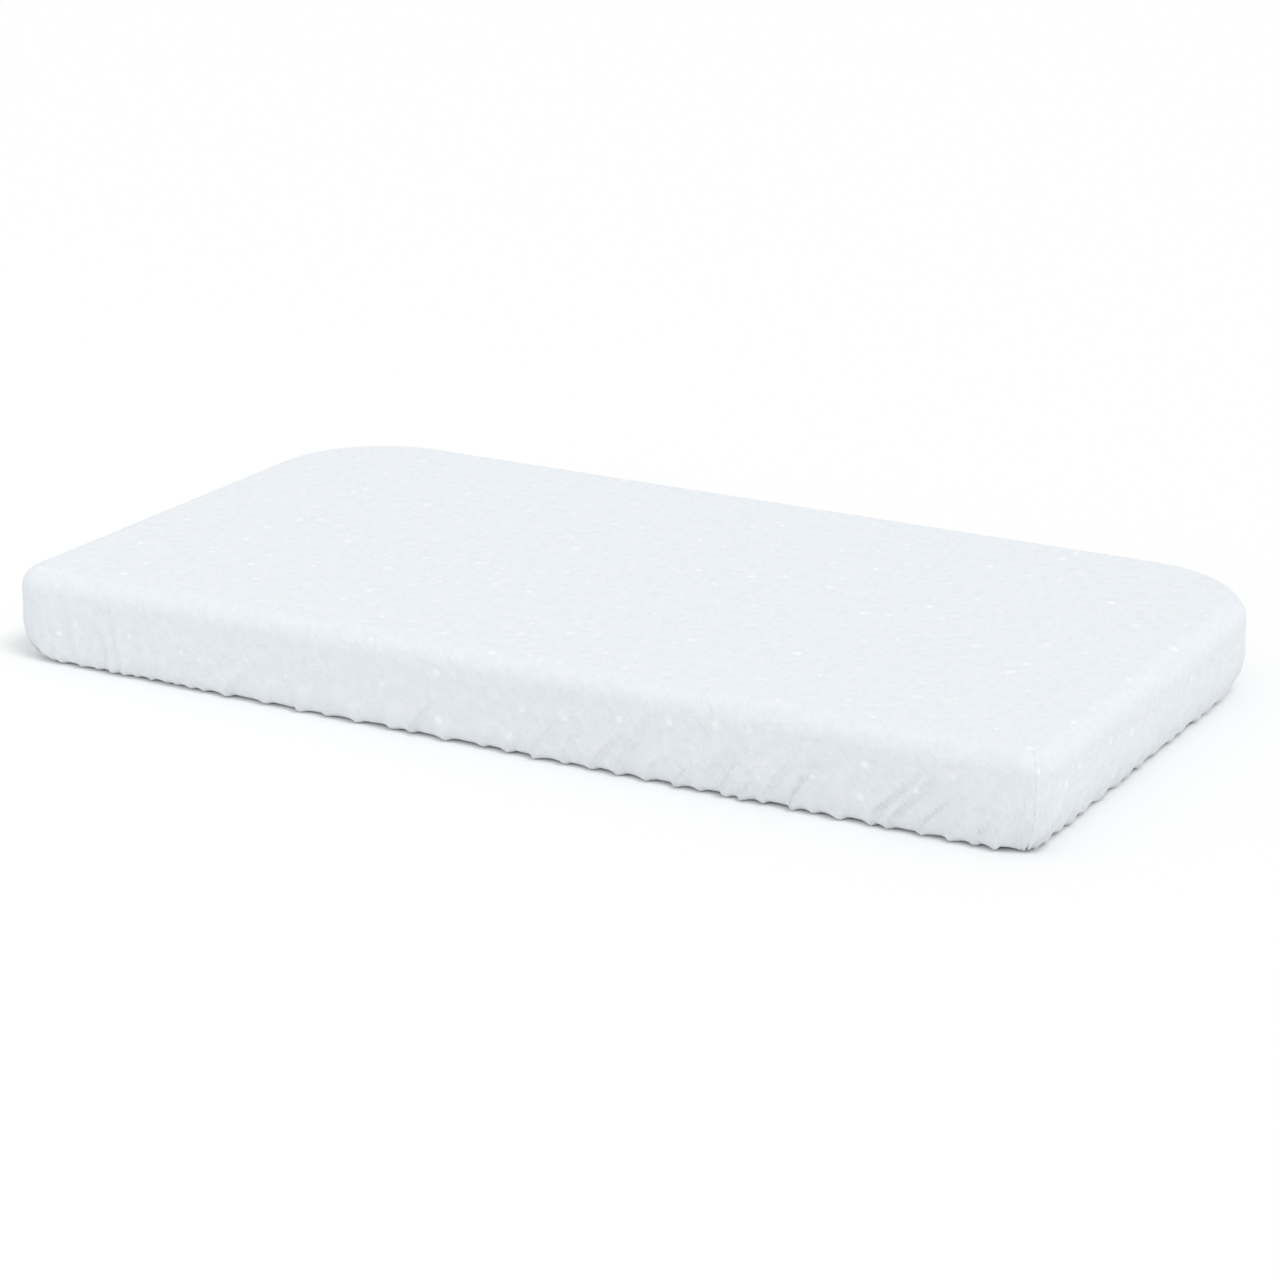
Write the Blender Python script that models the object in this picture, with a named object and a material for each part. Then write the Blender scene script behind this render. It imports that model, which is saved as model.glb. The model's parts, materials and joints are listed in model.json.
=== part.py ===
"""Bedside-crib memory foam mattress in a fitted sheet.

The plan is D-shaped: a straight front side with tight corners at -Y, and two large round
corners at the back. Lengths are in metres. The origin is the centre of the footprint, on
the surface that the mattress lies on; X runs along the length, Y across, Z up.
"""

import math

import bmesh
import bpy
from mathutils import Vector

# Overall size
LENGTH = 0.810
WIDTH = 0.430
HEIGHT = 0.068
FRONT_CORNER = 0.020  # plan radius of the two front corners
BACK_CORNER = 0.095  # plan radius of the two back corners
TOP_ROLL = 0.015  # radius of the soft upper edge
BOTTOM_ROLL = 0.009  # radius of the soft lower edge along the front side
TUCK = 0.017  # how far the elastic draws in the foot of the ends and the back
TUCK_RISE = 0.031  # height over which they draw in
CORNER_SPREAD = 0.012  # how much rounder the front corners are at the foot

# Clearances
GAP = 0.0003  # between pieces that touch
RUN = 0.0005  # between the slider and what it runs past
SMALLEST_CORNER = 0.004  # plan radius that no inner outline goes below

# Fitted sheet
SHEET_CLOTH = 0.0008
SEAM_WIDTH = 0.0024
SEAM_RELIEF = 0.0007

# Hem of the sheet, which carries the mattress
HEM_INSET = 0.040  # from the side of the sheet to the hem's outer edge
HEM_WIDTH = 0.012
HEM_HEIGHT = 0.0036
HEM_FRONT_CORNER = 0.055
HEM_BACK_CORNER = 0.078
ELASTIC_WIDTH = 0.008
ELASTIC_THICKNESS = 0.0010

# Zip-off cover
COVER_CLOTH = 0.0012
WADDING = 0.0040
SEAM_BELOW_ROLL = 0.003  # from the upper soft edge's end to the border's upper seam
BORDER_FOOT = 0.020  # level of the border's lower seam

# Core
LINER_CLOTH = 0.0006
LINER_MOUTH_MARGIN = 0.008  # from the zip tapes' ends to the liner's mouth
MEMORY_FOAM = 0.0250
ADHESIVE = 0.0004
ADHESIVE_MARGIN = 0.003

# Zip, which runs along X under the middle of the mattress
ZIP_END_INSET = 0.105  # from the end of the mattress to the end of the coils
COIL_WIDTH = 0.0022
COIL_HEIGHT = 0.0020
COIL_BELOW_TAPE = 0.65  # share of the coil's height that is below the middle of the tape
TAPE_WIDTH = 0.0140
TAPE_CLOTH = 0.0006
TAPE_END = 0.012  # tape beyond each end of the coils
STOP_LENGTH = 0.0040
SLIDER_LENGTH = 0.0130
SLIDER_WALL = 0.0008
FLANGE_WIDTH = 0.0012
WEB_WIDTH = 0.0010
BRIDGE_LENGTH = 0.0076
BRIDGE_WIDTH = 0.0028
BRIDGE_WALL = 0.0012
BRIDGE_BAR = 0.0009
PULL_LENGTH = 0.0220
PULL_WAIST = 0.0048
PULL_THICKNESS = 0.0010
PULL_PIN = 0.0011  # diameter
PULL_ARM = 0.0014
PULL_PLAY = 0.0004  # between the pull tab, its pin and the bridge

# Labels
LABEL_LENGTH = 0.040
LABEL_WIDTH = 0.024
LABEL_CLOTH = 0.0004
LABEL_OFFSET = 0.034  # from the zip to the middle of a label

# Levels, from the ground up
FLAP_UNDERSIDE = HEM_HEIGHT - SHEET_CLOTH
COVER_BOTTOM = HEM_HEIGHT + GAP
COVER_FLOOR = COVER_BOTTOM + COVER_CLOTH
LINER_BOTTOM = COVER_FLOOR + GAP
CORE_BOTTOM = LINER_BOTTOM + LINER_CLOTH + GAP
COVER_TOP = HEIGHT - SHEET_CLOTH - GAP
WADDING_TOP = COVER_TOP - COVER_CLOTH - GAP
LINER_TOP = WADDING_TOP - WADDING - GAP
CORE_TOP = LINER_TOP - LINER_CLOTH - GAP
MEMORY_FOAM_BOTTOM = CORE_TOP - MEMORY_FOAM
ADHESIVE_TOP = MEMORY_FOAM_BOTTOM - GAP
SUPPORT_FOAM_TOP = ADHESIVE_TOP - ADHESIVE - GAP

# Depths, from the side of the sheet inwards
COVER_DEPTH = SHEET_CLOTH + GAP
LINER_DEPTH = COVER_DEPTH + COVER_CLOTH + GAP
CORE_DEPTH = LINER_DEPTH + LINER_CLOTH + GAP

# Centres of the soft edges: every layer's edge is an ellipse about these
TOP_ROLL_CENTRE = HEIGHT - TOP_ROLL
FRONT_ROLL_CENTRE = FLAP_UNDERSIDE + BOTTOM_ROLL
TUCK_CENTRE = FLAP_UNDERSIDE + TUCK_RISE
TOP_SEAM = TOP_ROLL_CENTRE - SEAM_BELOW_ROLL

# Levels, lengths and half widths of the zip
ZIP_LENGTH = LENGTH - 2 * ZIP_END_INSET
TAPE_BOTTOM = COVER_FLOOR + GAP
COIL_BOTTOM = TAPE_BOTTOM + TAPE_CLOTH / 2 - COIL_BELOW_TAPE * COIL_HEIGHT
COIL_TOP = COIL_BOTTOM + COIL_HEIGHT
COIL_INNER = WEB_WIDTH / 2 + GAP
COIL_OUTER = COIL_INNER + COIL_WIDTH
TAPE_INNER = COIL_OUTER + GAP
FLANGE_INNER = COIL_OUTER + RUN
SLIDER_HALF_WIDTH = FLANGE_INNER + FLANGE_WIDTH
SLOT_HALF_WIDTH = SLIDER_HALF_WIDTH + RUN
SLOT_HALF_LENGTH = ZIP_LENGTH / 2 + GAP + STOP_LENGTH + RUN
SLIDER_CAVITY_BOTTOM = COIL_BOTTOM - GAP
SLIDER_CAVITY_TOP = COIL_TOP + GAP
SLIDER_BOTTOM = SLIDER_CAVITY_BOTTOM - SLIDER_WALL
SLIDER_TOP = SLIDER_CAVITY_TOP + SLIDER_WALL
SLIDER_REST_X = ZIP_LENGTH / 2 - RUN - SLIDER_LENGTH / 2
WINDOW_HEIGHT = PULL_PIN + 2 * PULL_PLAY
PULL_AXIS_Z = SLIDER_BOTTOM - WINDOW_HEIGHT / 2
PULL_HALF_WIDTH = BRIDGE_WIDTH / 2 + PULL_PLAY + PULL_ARM
PULL_EYE = math.hypot(BRIDGE_LENGTH / 2, WINDOW_HEIGHT / 2 + BRIDGE_BAR) + PULL_PLAY

FRONT_STEPS = 5
BACK_STEPS = 9
TOP_ROLL_STEPS = 4
BOTTOM_ROLL_STEPS = 6

BODY_CORNERS = (FRONT_CORNER, BACK_CORNER, 0.0)
HEM_CORNERS = (HEM_FRONT_CORNER, HEM_BACK_CORNER, HEM_INSET)
UPRIGHT = (0.0, 0.0)  # no tuck at the front, and none round the ends and the back


def clear_scene():
    for thing in list(bpy.data.objects):
        bpy.data.objects.remove(thing, do_unlink=True)


def corner_centre(side_x, side_y, inset, tuck, corners):
    """The centre and radius of one plan corner; see plan_outline."""
    front, back, measured_at = corners
    front_tuck, round_tuck = tuck
    radius, here_tuck = back, round_tuck
    if side_y < 0:
        radius, here_tuck = front + CORNER_SPREAD * round_tuck / TUCK, front_tuck
    corner = max(radius - (inset - measured_at), SMALLEST_CORNER)
    middle_x = side_x * (LENGTH / 2 - inset - round_tuck - corner)
    middle_y = side_y * (WIDTH / 2 - inset - here_tuck - corner)
    return middle_x, middle_y, corner


def plan_outline(inset, tuck=UPRIGHT, corners=BODY_CORNERS):
    """The D outline this far inside the side of the sheet, anticlockwise from above.

    tuck holds how much further in the front side is, and the ends and the back.
    corners holds the front radius, the back radius and the inset where they are measured.
    """
    points = []
    for side_x, side_y, steps, start in (
        (-1, -1, FRONT_STEPS, 180),
        (1, -1, FRONT_STEPS, 270),
        (1, 1, BACK_STEPS, 0),
        (-1, 1, BACK_STEPS, 90),
    ):
        middle_x, middle_y, corner = corner_centre(side_x, side_y, inset, tuck, corners)
        for step in range(steps + 1):
            angle = math.radians(start + 90 * step / steps)
            points.append((middle_x + corner * math.cos(angle), middle_y + corner * math.sin(angle)))
    return points


def ring(inset, level, tuck=UPRIGHT, corners=BODY_CORNERS):
    return [Vector((x, y, level)) for x, y in plan_outline(inset, tuck, corners)]


def top_edge(depth, level):
    """Stations down the soft upper edge of a layer, from its flat top to its side."""
    across = TOP_ROLL - depth
    high = level - TOP_ROLL_CENTRE
    quarter = [math.pi / 2 * step / TOP_ROLL_STEPS for step in range(TOP_ROLL_STEPS + 1)]
    return [(TOP_ROLL - across * math.sin(a), TOP_ROLL_CENTRE + high * math.cos(a)) for a in quarter]


def tuck_at(depth, level, underside):
    """How far a layer's front, and its ends and back, are drawn in at a level."""
    drawn = []
    for across, centre in ((BOTTOM_ROLL, FRONT_ROLL_CENTRE), (TUCK, TUCK_CENTRE)):
        drop = min(max((centre - level) / (centre - underside), 0.0), 1.0)
        drawn.append((across - depth) * (1 - math.sqrt(1 - drop * drop)))
    return tuple(drawn)


def bottom_edge(depth, underside, low=None, high=None):
    """Stations up the drawn-in foot of a layer, from its flat underside or low, to high."""
    low = underside if low is None else low
    high = TUCK_CENTRE if high is None else high
    quarter = [math.pi / 2 * step / BOTTOM_ROLL_STEPS for step in range(BOTTOM_ROLL_STEPS + 1)]
    levels = [TUCK_CENTRE - TUCK_RISE * math.cos(a) for a in quarter]
    inner = [level for level in levels if low + GAP < level < high - GAP]
    return [(depth, level, tuck_at(depth, level, underside)) for level in [low, *inner, high]]


def rings_along(path):
    return [ring(*station) for station in path]


def finish(name, colour, roughness, metallic=0.0):
    material = bpy.data.materials.new(name)
    material.use_nodes = True
    shader = material.node_tree.nodes["Principled BSDF"]
    shader.inputs["Base Color"].default_value = (*colour, 1.0)
    shader.inputs["Roughness"].default_value = roughness
    shader.inputs["Metallic"].default_value = metallic
    material.diffuse_color = (*colour, 1.0)
    return material


def add_piece(name, points, faces, look, origin=(0, 0, 0), parent=None):
    """A named object from world points, with its own origin and its faces turned outwards."""
    place = Vector(origin)
    mesh = bpy.data.meshes.new(name)
    mesh.from_pydata([Vector(point) - place for point in points], [], faces)
    shaped = bmesh.new()
    shaped.from_mesh(mesh)
    bmesh.ops.recalc_face_normals(shaped, faces=shaped.faces)
    shaped.to_mesh(mesh)
    shaped.free()
    mesh.shade_smooth()
    mesh.set_sharp_from_angle(angle=math.radians(35))
    piece = bpy.data.objects.new(name, mesh)
    piece.data.materials.append(look)
    piece.location = place
    bpy.context.scene.collection.objects.link(piece)
    if parent is not None:
        piece.parent = parent
        piece.location = place - parent.location
    return piece


def loft(name, rings, look, closed=False, **placing):
    """Joins rings of equal length; an open run is capped at both ends, a closed one is a hoop."""
    count = len(rings[0])
    points = [point for one in rings for point in one]
    faces = []
    for low in range(len(rings) if closed else len(rings) - 1):
        high = (low + 1) % len(rings)
        for at in range(count):
            after = (at + 1) % count
            faces.append((low * count + at, low * count + after, high * count + after, high * count + at))
    if not closed:
        faces.append(tuple(range(count)))
        faces.append(tuple(range((len(rings) - 1) * count, len(rings) * count)))
    return add_piece(name, points, faces, look, **placing)


def prism(name, outline, axis, low, high, look, **placing):
    """An outline extruded from low to high along an axis, 0, 1 or 2."""
    ends = []
    for along in (low, high):
        rows = [list(point) for point in outline]
        for row in rows:
            row.insert(axis, along)
        ends.append([Vector(row) for row in rows])
    return loft(name, ends, look, **placing)


def block(name, low, high, look, **placing):
    outline = [(low[0], low[1]), (high[0], low[1]), (high[0], high[1]), (low[0], high[1])]
    return prism(name, outline, 2, low[2], high[2], look, **placing)


def combine(piece, tool, operation):
    """Cuts piece with tool, or joins tool to it, and keeps tool as a hidden guide."""
    tool.hide_render = True
    tool.display_type = "WIRE"
    change = piece.modifiers.new(tool.name, "BOOLEAN")
    change.operation = operation
    change.solver = "EXACT"
    change.object = tool


def build_fitted_sheet(look):
    """The sheet's skin: top, soft edges, side skirt and the flap that turns in to the hem."""
    mouth = HEM_INSET - GAP
    inside = top_edge(SHEET_CLOTH, HEIGHT - SHEET_CLOTH)
    inside += reversed(bottom_edge(SHEET_CLOTH, FLAP_UNDERSIDE + SHEET_CLOTH))
    outside = bottom_edge(0.0, FLAP_UNDERSIDE) + list(reversed(top_edge(0.0, HEIGHT)))
    rings = rings_along(inside)
    rings.append(ring(mouth, FLAP_UNDERSIDE + SHEET_CLOTH, corners=HEM_CORNERS))
    rings.append(ring(mouth, FLAP_UNDERSIDE, corners=HEM_CORNERS))
    rings += rings_along(outside)
    return loft("fitted_sheet", rings, look)


def build_corner_seam(name, side, look):
    """The raised seam that closes the dart at one front corner; side is -1 or 1."""
    outwards = Vector((side, -1, 0)).normalized()
    sideways = Vector((-outwards.y, outwards.x, 0))
    feet = []
    for station in bottom_edge(0.0, FLAP_UNDERSIDE) + list(reversed(top_edge(0.0, HEIGHT))):
        inset, level, tuck = (*station, UPRIGHT)[:3]
        middle_x, middle_y, corner = corner_centre(side, -1, inset, tuck, BODY_CORNERS)
        feet.append(Vector((middle_x, middle_y, level)) + outwards * corner)
    rings = []
    for at in range(1, len(feet) - 1):
        normal = sideways.cross(feet[at + 1] - feet[at - 1]).normalized()
        inner = feet[at] + normal * GAP
        outer = inner + normal * SEAM_RELIEF
        foot, crest = sideways * (SEAM_WIDTH / 2), sideways * (SEAM_WIDTH / 4)
        rings.append([inner - foot, inner + foot, outer + crest, outer - crest])
    return loft(name, rings, look)


def build_hem(casing_look, elastic_look):
    """The double-turned hem, open along its stitched outer edge, and the elastic in it."""
    inner = HEM_INSET + HEM_WIDTH
    wall = SHEET_CLOTH
    section = [
        (HEM_INSET, 0.0),
        (inner, 0.0),
        (inner, HEM_HEIGHT),
        (HEM_INSET, HEM_HEIGHT),
        (HEM_INSET, HEM_HEIGHT - wall),
        (inner - wall, HEM_HEIGHT - wall),
        (inner - wall, wall),
        (HEM_INSET, wall),
    ]
    rings = [ring(inset, level, corners=HEM_CORNERS) for inset, level in section]
    loft("sheet_hem_casing", rings, casing_look, closed=True)
    band_inner = inner - wall - GAP
    band_low = (HEM_HEIGHT - ELASTIC_THICKNESS) / 2
    band_high = band_low + ELASTIC_THICKNESS
    section = [
        (band_inner - ELASTIC_WIDTH, band_low),
        (band_inner, band_low),
        (band_inner, band_high),
        (band_inner - ELASTIC_WIDTH, band_high),
    ]
    rings = [ring(inset, level, corners=HEM_CORNERS) for inset, level in section]
    loft("sheet_hem_elastic", rings, elastic_look, closed=True)


def build_cover(look, wadding_look):
    """The zip-off cover: a top tray, a border band, a bottom tray and the wadding."""
    inner = COVER_DEPTH + COVER_CLOTH
    inside = top_edge(inner, COVER_TOP - COVER_CLOTH) + [(inner, TOP_SEAM)]
    outside = [(COVER_DEPTH, TOP_SEAM)] + list(reversed(top_edge(COVER_DEPTH, COVER_TOP)))
    loft("cover_top_panel", rings_along(inside + outside), look)

    low, high = BORDER_FOOT + GAP, TOP_SEAM - GAP
    outside = bottom_edge(COVER_DEPTH, COVER_BOTTOM, low=low) + [(COVER_DEPTH, high)]
    inside = [(inner, high)] + list(reversed(bottom_edge(inner, COVER_FLOOR, low=low)))
    loft("cover_border", rings_along(outside + inside), look, closed=True)

    inside = bottom_edge(inner, COVER_FLOOR, high=BORDER_FOOT)
    outside = list(reversed(bottom_edge(COVER_DEPTH, COVER_BOTTOM, high=BORDER_FOOT)))
    panel = loft("cover_bottom_panel", rings_along(inside + outside), look)
    slot = block(
        "zip_slot",
        (-SLOT_HALF_LENGTH, -SLOT_HALF_WIDTH, 0.0),
        (SLOT_HALF_LENGTH, SLOT_HALF_WIDTH, LINER_BOTTOM),
        look,
    )
    combine(panel, slot, "DIFFERENCE")

    depth = inner + GAP
    across, high = TOP_ROLL - depth, WADDING_TOP - TOP_ROLL_CENTRE
    low_angle = math.asin((high - WADDING) / high)
    path = []
    for step in range(TOP_ROLL_STEPS + 1):
        angle = low_angle + (math.pi / 2 - low_angle) * step / TOP_ROLL_STEPS
        path.append((TOP_ROLL - across * math.cos(angle), TOP_ROLL_CENTRE + high * math.sin(angle)))
    loft("cover_wadding", rings_along(path), wadding_look)


def build_core(liner_look, memory_look, support_look, adhesive_look):
    """Two foam layers with an adhesive film between them, in a liner that is open underneath."""
    inner = LINER_DEPTH + LINER_CLOTH
    inside = top_edge(inner, LINER_TOP - LINER_CLOTH)
    inside += reversed(bottom_edge(inner, LINER_BOTTOM + LINER_CLOTH))
    outside = bottom_edge(LINER_DEPTH, LINER_BOTTOM) + list(reversed(top_edge(LINER_DEPTH, LINER_TOP)))
    lip = ZIP_END_INSET - TAPE_END - LINER_MOUTH_MARGIN
    mouth = [(lip, LINER_BOTTOM + LINER_CLOTH), (lip, LINER_BOTTOM)]
    loft("core_liner", rings_along(inside + mouth + outside), liner_look)

    path = [(CORE_DEPTH, MEMORY_FOAM_BOTTOM)] + list(reversed(top_edge(CORE_DEPTH, CORE_TOP)))
    loft("memory_foam_layer", rings_along(path), memory_look)

    film = CORE_DEPTH + ADHESIVE_MARGIN
    path = [(film, ADHESIVE_TOP - ADHESIVE), (film, ADHESIVE_TOP)]
    loft("foam_adhesive", rings_along(path), adhesive_look)

    path = bottom_edge(CORE_DEPTH, CORE_BOTTOM) + [(CORE_DEPTH, SUPPORT_FOAM_TOP)]
    base = loft("support_foam_base", rings_along(path), support_look)
    relief = block(
        "slider_relief",
        (-SLOT_HALF_LENGTH, -SLOT_HALF_WIDTH, 0.0),
        (SLOT_HALF_LENGTH, SLOT_HALF_WIDTH, SLIDER_TOP + RUN),
        support_look,
    )
    combine(base, relief, "DIFFERENCE")


def build_zip_rows(tape_look, coil_look, metal_look):
    """The tapes, the coils along their edges and the two end stops of the closed zip."""
    coil_end = ZIP_LENGTH / 2
    tape_end = coil_end + TAPE_END
    coil_chamfer = COIL_HEIGHT / 4
    for name, side in (("front", -1), ("back", 1)):
        near, far = sorted((side * TAPE_INNER, side * (TAPE_INNER + TAPE_WIDTH)))
        block(
            f"zip_tape_{name}",
            (-tape_end, near, TAPE_BOTTOM),
            (tape_end, far, TAPE_BOTTOM + TAPE_CLOTH),
            tape_look,
        )
        outline = [
            (side * COIL_INNER, COIL_BOTTOM + coil_chamfer),
            (side * (COIL_INNER + coil_chamfer), COIL_BOTTOM),
            (side * (COIL_OUTER - coil_chamfer), COIL_BOTTOM),
            (side * COIL_OUTER, COIL_BOTTOM + coil_chamfer),
            (side * COIL_OUTER, COIL_TOP - coil_chamfer),
            (side * (COIL_OUTER - coil_chamfer), COIL_TOP),
            (side * (COIL_INNER + coil_chamfer), COIL_TOP),
            (side * COIL_INNER, COIL_TOP - coil_chamfer),
        ]
        prism(f"zip_coil_{name}", outline, 0, -coil_end, coil_end, coil_look)
    for name, side in (("zip_top_stop", 1), ("zip_bottom_stop", -1)):
        start, end = sorted((side * (coil_end + GAP), side * (coil_end + GAP + STOP_LENGTH)))
        block(name, (start, -COIL_OUTER, COIL_BOTTOM), (end, COIL_OUTER, COIL_TOP), metal_look)


def build_slider(look):
    """Two plates with flanges, the web between them, and the bridge that holds the pull tab."""
    low_flange = TAPE_BOTTOM - GAP
    high_flange = TAPE_BOTTOM + TAPE_CLOTH + GAP
    half = [
        (SLIDER_HALF_WIDTH, SLIDER_BOTTOM),
        (SLIDER_HALF_WIDTH, low_flange),
        (FLANGE_INNER, low_flange),
        (FLANGE_INNER, SLIDER_CAVITY_BOTTOM),
        (WEB_WIDTH / 2, SLIDER_CAVITY_BOTTOM),
        (WEB_WIDTH / 2, SLIDER_CAVITY_TOP),
        (FLANGE_INNER, SLIDER_CAVITY_TOP),
        (FLANGE_INNER, high_flange),
        (SLIDER_HALF_WIDTH, high_flange),
        (SLIDER_HALF_WIDTH, SLIDER_TOP),
    ]
    outline = half + [(-y, z) for y, z in reversed(half)]
    start = SLIDER_REST_X - SLIDER_LENGTH / 2
    origin = (SLIDER_REST_X, 0, PULL_AXIS_Z)
    slider = prism("zip_slider", outline, 0, start, start + SLIDER_LENGTH, look, origin=origin)

    foot = SLIDER_BOTTOM + SLIDER_WALL / 2
    window_low = SLIDER_BOTTOM - WINDOW_HEIGHT
    bar_low = window_low - BRIDGE_BAR
    outer = BRIDGE_LENGTH / 2
    inner = outer - BRIDGE_WALL
    half = [
        (outer, foot),
        (outer, window_low),
        (inner, bar_low),
    ]
    inside = [(inner, window_low), (inner, foot)]
    outline = [(-x, z) for x, z in half] + list(reversed(half))
    outline += list(reversed(inside)) + [(-x, z) for x, z in inside]
    outline = [(SLIDER_REST_X + x, z) for x, z in outline]
    bridge = prism(
        "slider_bridge", outline, 1, -BRIDGE_WIDTH / 2, BRIDGE_WIDTH / 2, look, origin=origin, parent=slider
    )
    combine(slider, bridge, "UNION")
    return slider


def build_pull_tab(slider, look):
    """A forked tab whose pin turns in the slider's bridge; it lies flat, pointing to -X."""
    half = PULL_HALF_WIDTH
    waist = PULL_WAIST / 2
    shoulder = PULL_EYE + PULL_ARM
    tip = PULL_LENGTH - PULL_ARM
    arm = half - PULL_ARM
    side = [
        (-PULL_PIN / 2, arm),
        (-PULL_PIN / 2, half),
        (shoulder, half),
        (shoulder + 2 * PULL_ARM, waist),
        (tip, waist),
        (PULL_LENGTH, waist - PULL_ARM / 2),
    ]
    outline = side + [(x, -y) for x, y in reversed(side)] + [(PULL_EYE, -arm), (PULL_EYE, arm)]
    outline = [(SLIDER_REST_X - x, y) for x, y in outline]
    low = PULL_AXIS_Z - PULL_THICKNESS / 2
    origin = (SLIDER_REST_X, 0, PULL_AXIS_Z)
    tab = prism(
        "zip_pull_tab", outline, 2, low, low + PULL_THICKNESS, look, origin=origin, parent=slider
    )
    steps = 12
    turn = [math.tau * step / steps for step in range(steps)]
    circle = [
        (SLIDER_REST_X + PULL_PIN / 2 * math.cos(a), PULL_AXIS_Z + PULL_PIN / 2 * math.sin(a)) for a in turn
    ]
    reach = arm + PULL_ARM / 2
    pin = prism("pull_pin", circle, 1, -reach, reach, look, origin=origin, parent=tab)
    pin.location = (0, 0, 0)
    combine(tab, pin, "UNION")


def build_labels(look):
    """Two blank care labels, flat against the underside of the cover."""
    level = COVER_BOTTOM - GAP - LABEL_CLOTH
    hem_inner = -(LENGTH / 2 - HEM_INSET - HEM_WIDTH - GAP)
    for name, start, middle in (
        ("sheet_care_label", hem_inner, LABEL_OFFSET),
        ("cover_care_label", LABEL_LENGTH, -LABEL_OFFSET),
    ):
        block(
            name,
            (start, middle - LABEL_WIDTH / 2, level),
            (start + LABEL_LENGTH, middle + LABEL_WIDTH / 2, level + LABEL_CLOTH),
            look,
        )


def build():
    clear_scene()
    muslin = finish("pale blue muslin", (0.80, 0.86, 0.90), 0.92)
    seam = finish("seam stitching", (0.86, 0.90, 0.93), 0.90)
    build_fitted_sheet(muslin)
    build_corner_seam("sheet_corner_seam_left", -1, seam)
    build_corner_seam("sheet_corner_seam_right", 1, seam)
    build_hem(finish("hem muslin", (0.78, 0.84, 0.89), 0.92), finish("elastic", (0.90, 0.90, 0.88), 0.80))
    build_cover(finish("cover knit", (0.88, 0.88, 0.86), 0.95), finish("wadding", (0.93, 0.93, 0.92), 1.0))
    build_core(
        finish("liner jersey", (0.91, 0.91, 0.90), 0.95),
        finish("memory foam", (0.93, 0.88, 0.72), 0.85),
        finish("support foam", (0.86, 0.88, 0.90), 0.90),
        finish("adhesive film", (0.90, 0.90, 0.84), 0.40),
    )
    zinc = finish("plated zinc", (0.72, 0.72, 0.73), 0.35, metallic=1.0)
    build_zip_rows(
        finish("zip tape", (0.86, 0.87, 0.88), 0.85), finish("zip coil", (0.90, 0.90, 0.91), 0.45), zinc
    )
    build_pull_tab(build_slider(zinc), zinc)
    build_labels(finish("label satin", (0.95, 0.95, 0.95), 0.50))


build()
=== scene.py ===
"""A bedside-crib mattress in its fitted muslin sheet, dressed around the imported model.

The sheet is a flat cloth laid over the mattress, with seeded folds where its elastic hem gathers
it. Under it are the hem, the zip-off cover with its zip, and the foam core in its liner.
All lengths are metres.
"""

import json
import logging
import math
from collections.abc import Callable
from dataclasses import dataclass, field
from enum import Enum

import bmesh
import bpy
import numpy as np
from mathutils import Matrix, Vector, geometry, noise

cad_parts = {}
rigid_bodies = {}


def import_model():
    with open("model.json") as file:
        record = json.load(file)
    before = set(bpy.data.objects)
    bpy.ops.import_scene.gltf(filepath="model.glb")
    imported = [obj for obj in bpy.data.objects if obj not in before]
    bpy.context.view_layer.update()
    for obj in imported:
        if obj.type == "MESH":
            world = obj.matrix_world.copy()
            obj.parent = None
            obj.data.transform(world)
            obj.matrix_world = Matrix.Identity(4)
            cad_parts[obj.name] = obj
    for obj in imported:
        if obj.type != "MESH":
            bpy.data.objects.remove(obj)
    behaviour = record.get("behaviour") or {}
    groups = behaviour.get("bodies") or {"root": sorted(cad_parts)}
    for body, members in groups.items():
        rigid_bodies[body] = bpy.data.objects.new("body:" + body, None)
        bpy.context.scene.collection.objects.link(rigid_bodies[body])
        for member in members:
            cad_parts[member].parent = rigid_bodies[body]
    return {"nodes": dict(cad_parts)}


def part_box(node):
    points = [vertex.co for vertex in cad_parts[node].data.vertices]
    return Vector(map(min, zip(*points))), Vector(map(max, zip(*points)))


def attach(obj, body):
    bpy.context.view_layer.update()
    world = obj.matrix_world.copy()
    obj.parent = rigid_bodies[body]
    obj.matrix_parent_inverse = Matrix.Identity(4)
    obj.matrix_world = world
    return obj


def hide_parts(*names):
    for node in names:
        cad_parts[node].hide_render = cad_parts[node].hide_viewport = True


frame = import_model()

logging.basicConfig(level=logging.INFO, format="%(message)s")
log = logging.getLogger("mattress")

MM = 0.001
QUARTER = math.pi / 2
CUT_MAP = "cut"  # the UV map that holds each point's place on the flat cloth, in metres
SHARP = math.radians(40)  # edges that turn more than this are drawn sharp
BAND_SPAN = 0.314  # how far apart a wave texture's bands lie at scale 1
DOWN = Vector((0, 0, -1))
NO_TUCK = (0.0, 0.0)

Piece = bpy.types.Object
Socket = bpy.types.NodeSocket
Array = np.ndarray
Pair = tuple[float, float]


def linear(colour: str) -> tuple[float, float, float, float]:
    """An sRGB hex colour as linear red, green, blue and alpha."""
    channels = [int(colour[i : i + 2], 16) / 255 for i in (1, 3, 5)]
    turned = [c / 12.92 if c <= 0.04045 else ((c + 0.055) / 1.055) ** 2.4 for c in channels]
    return (*turned, 1.0)


def smooth_step(value: Array, low: float, high: float) -> Array:
    """A soft 0 to 1 ramp of value between low and high."""
    t = np.clip((value - low) / (high - low), 0.0, 1.0)
    return t * t * (3 - 2 * t)


def field_noise(points: Array, size: float, seed: float) -> Array:
    """Smooth noise from about -1 to 1 at each point, with lumps of this size in metres."""
    shift = Vector((seed * 3.1, seed * 7.7, seed * 1.3))
    return np.array([noise.noise(Vector(p) / size + shift) for p in points])


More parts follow.
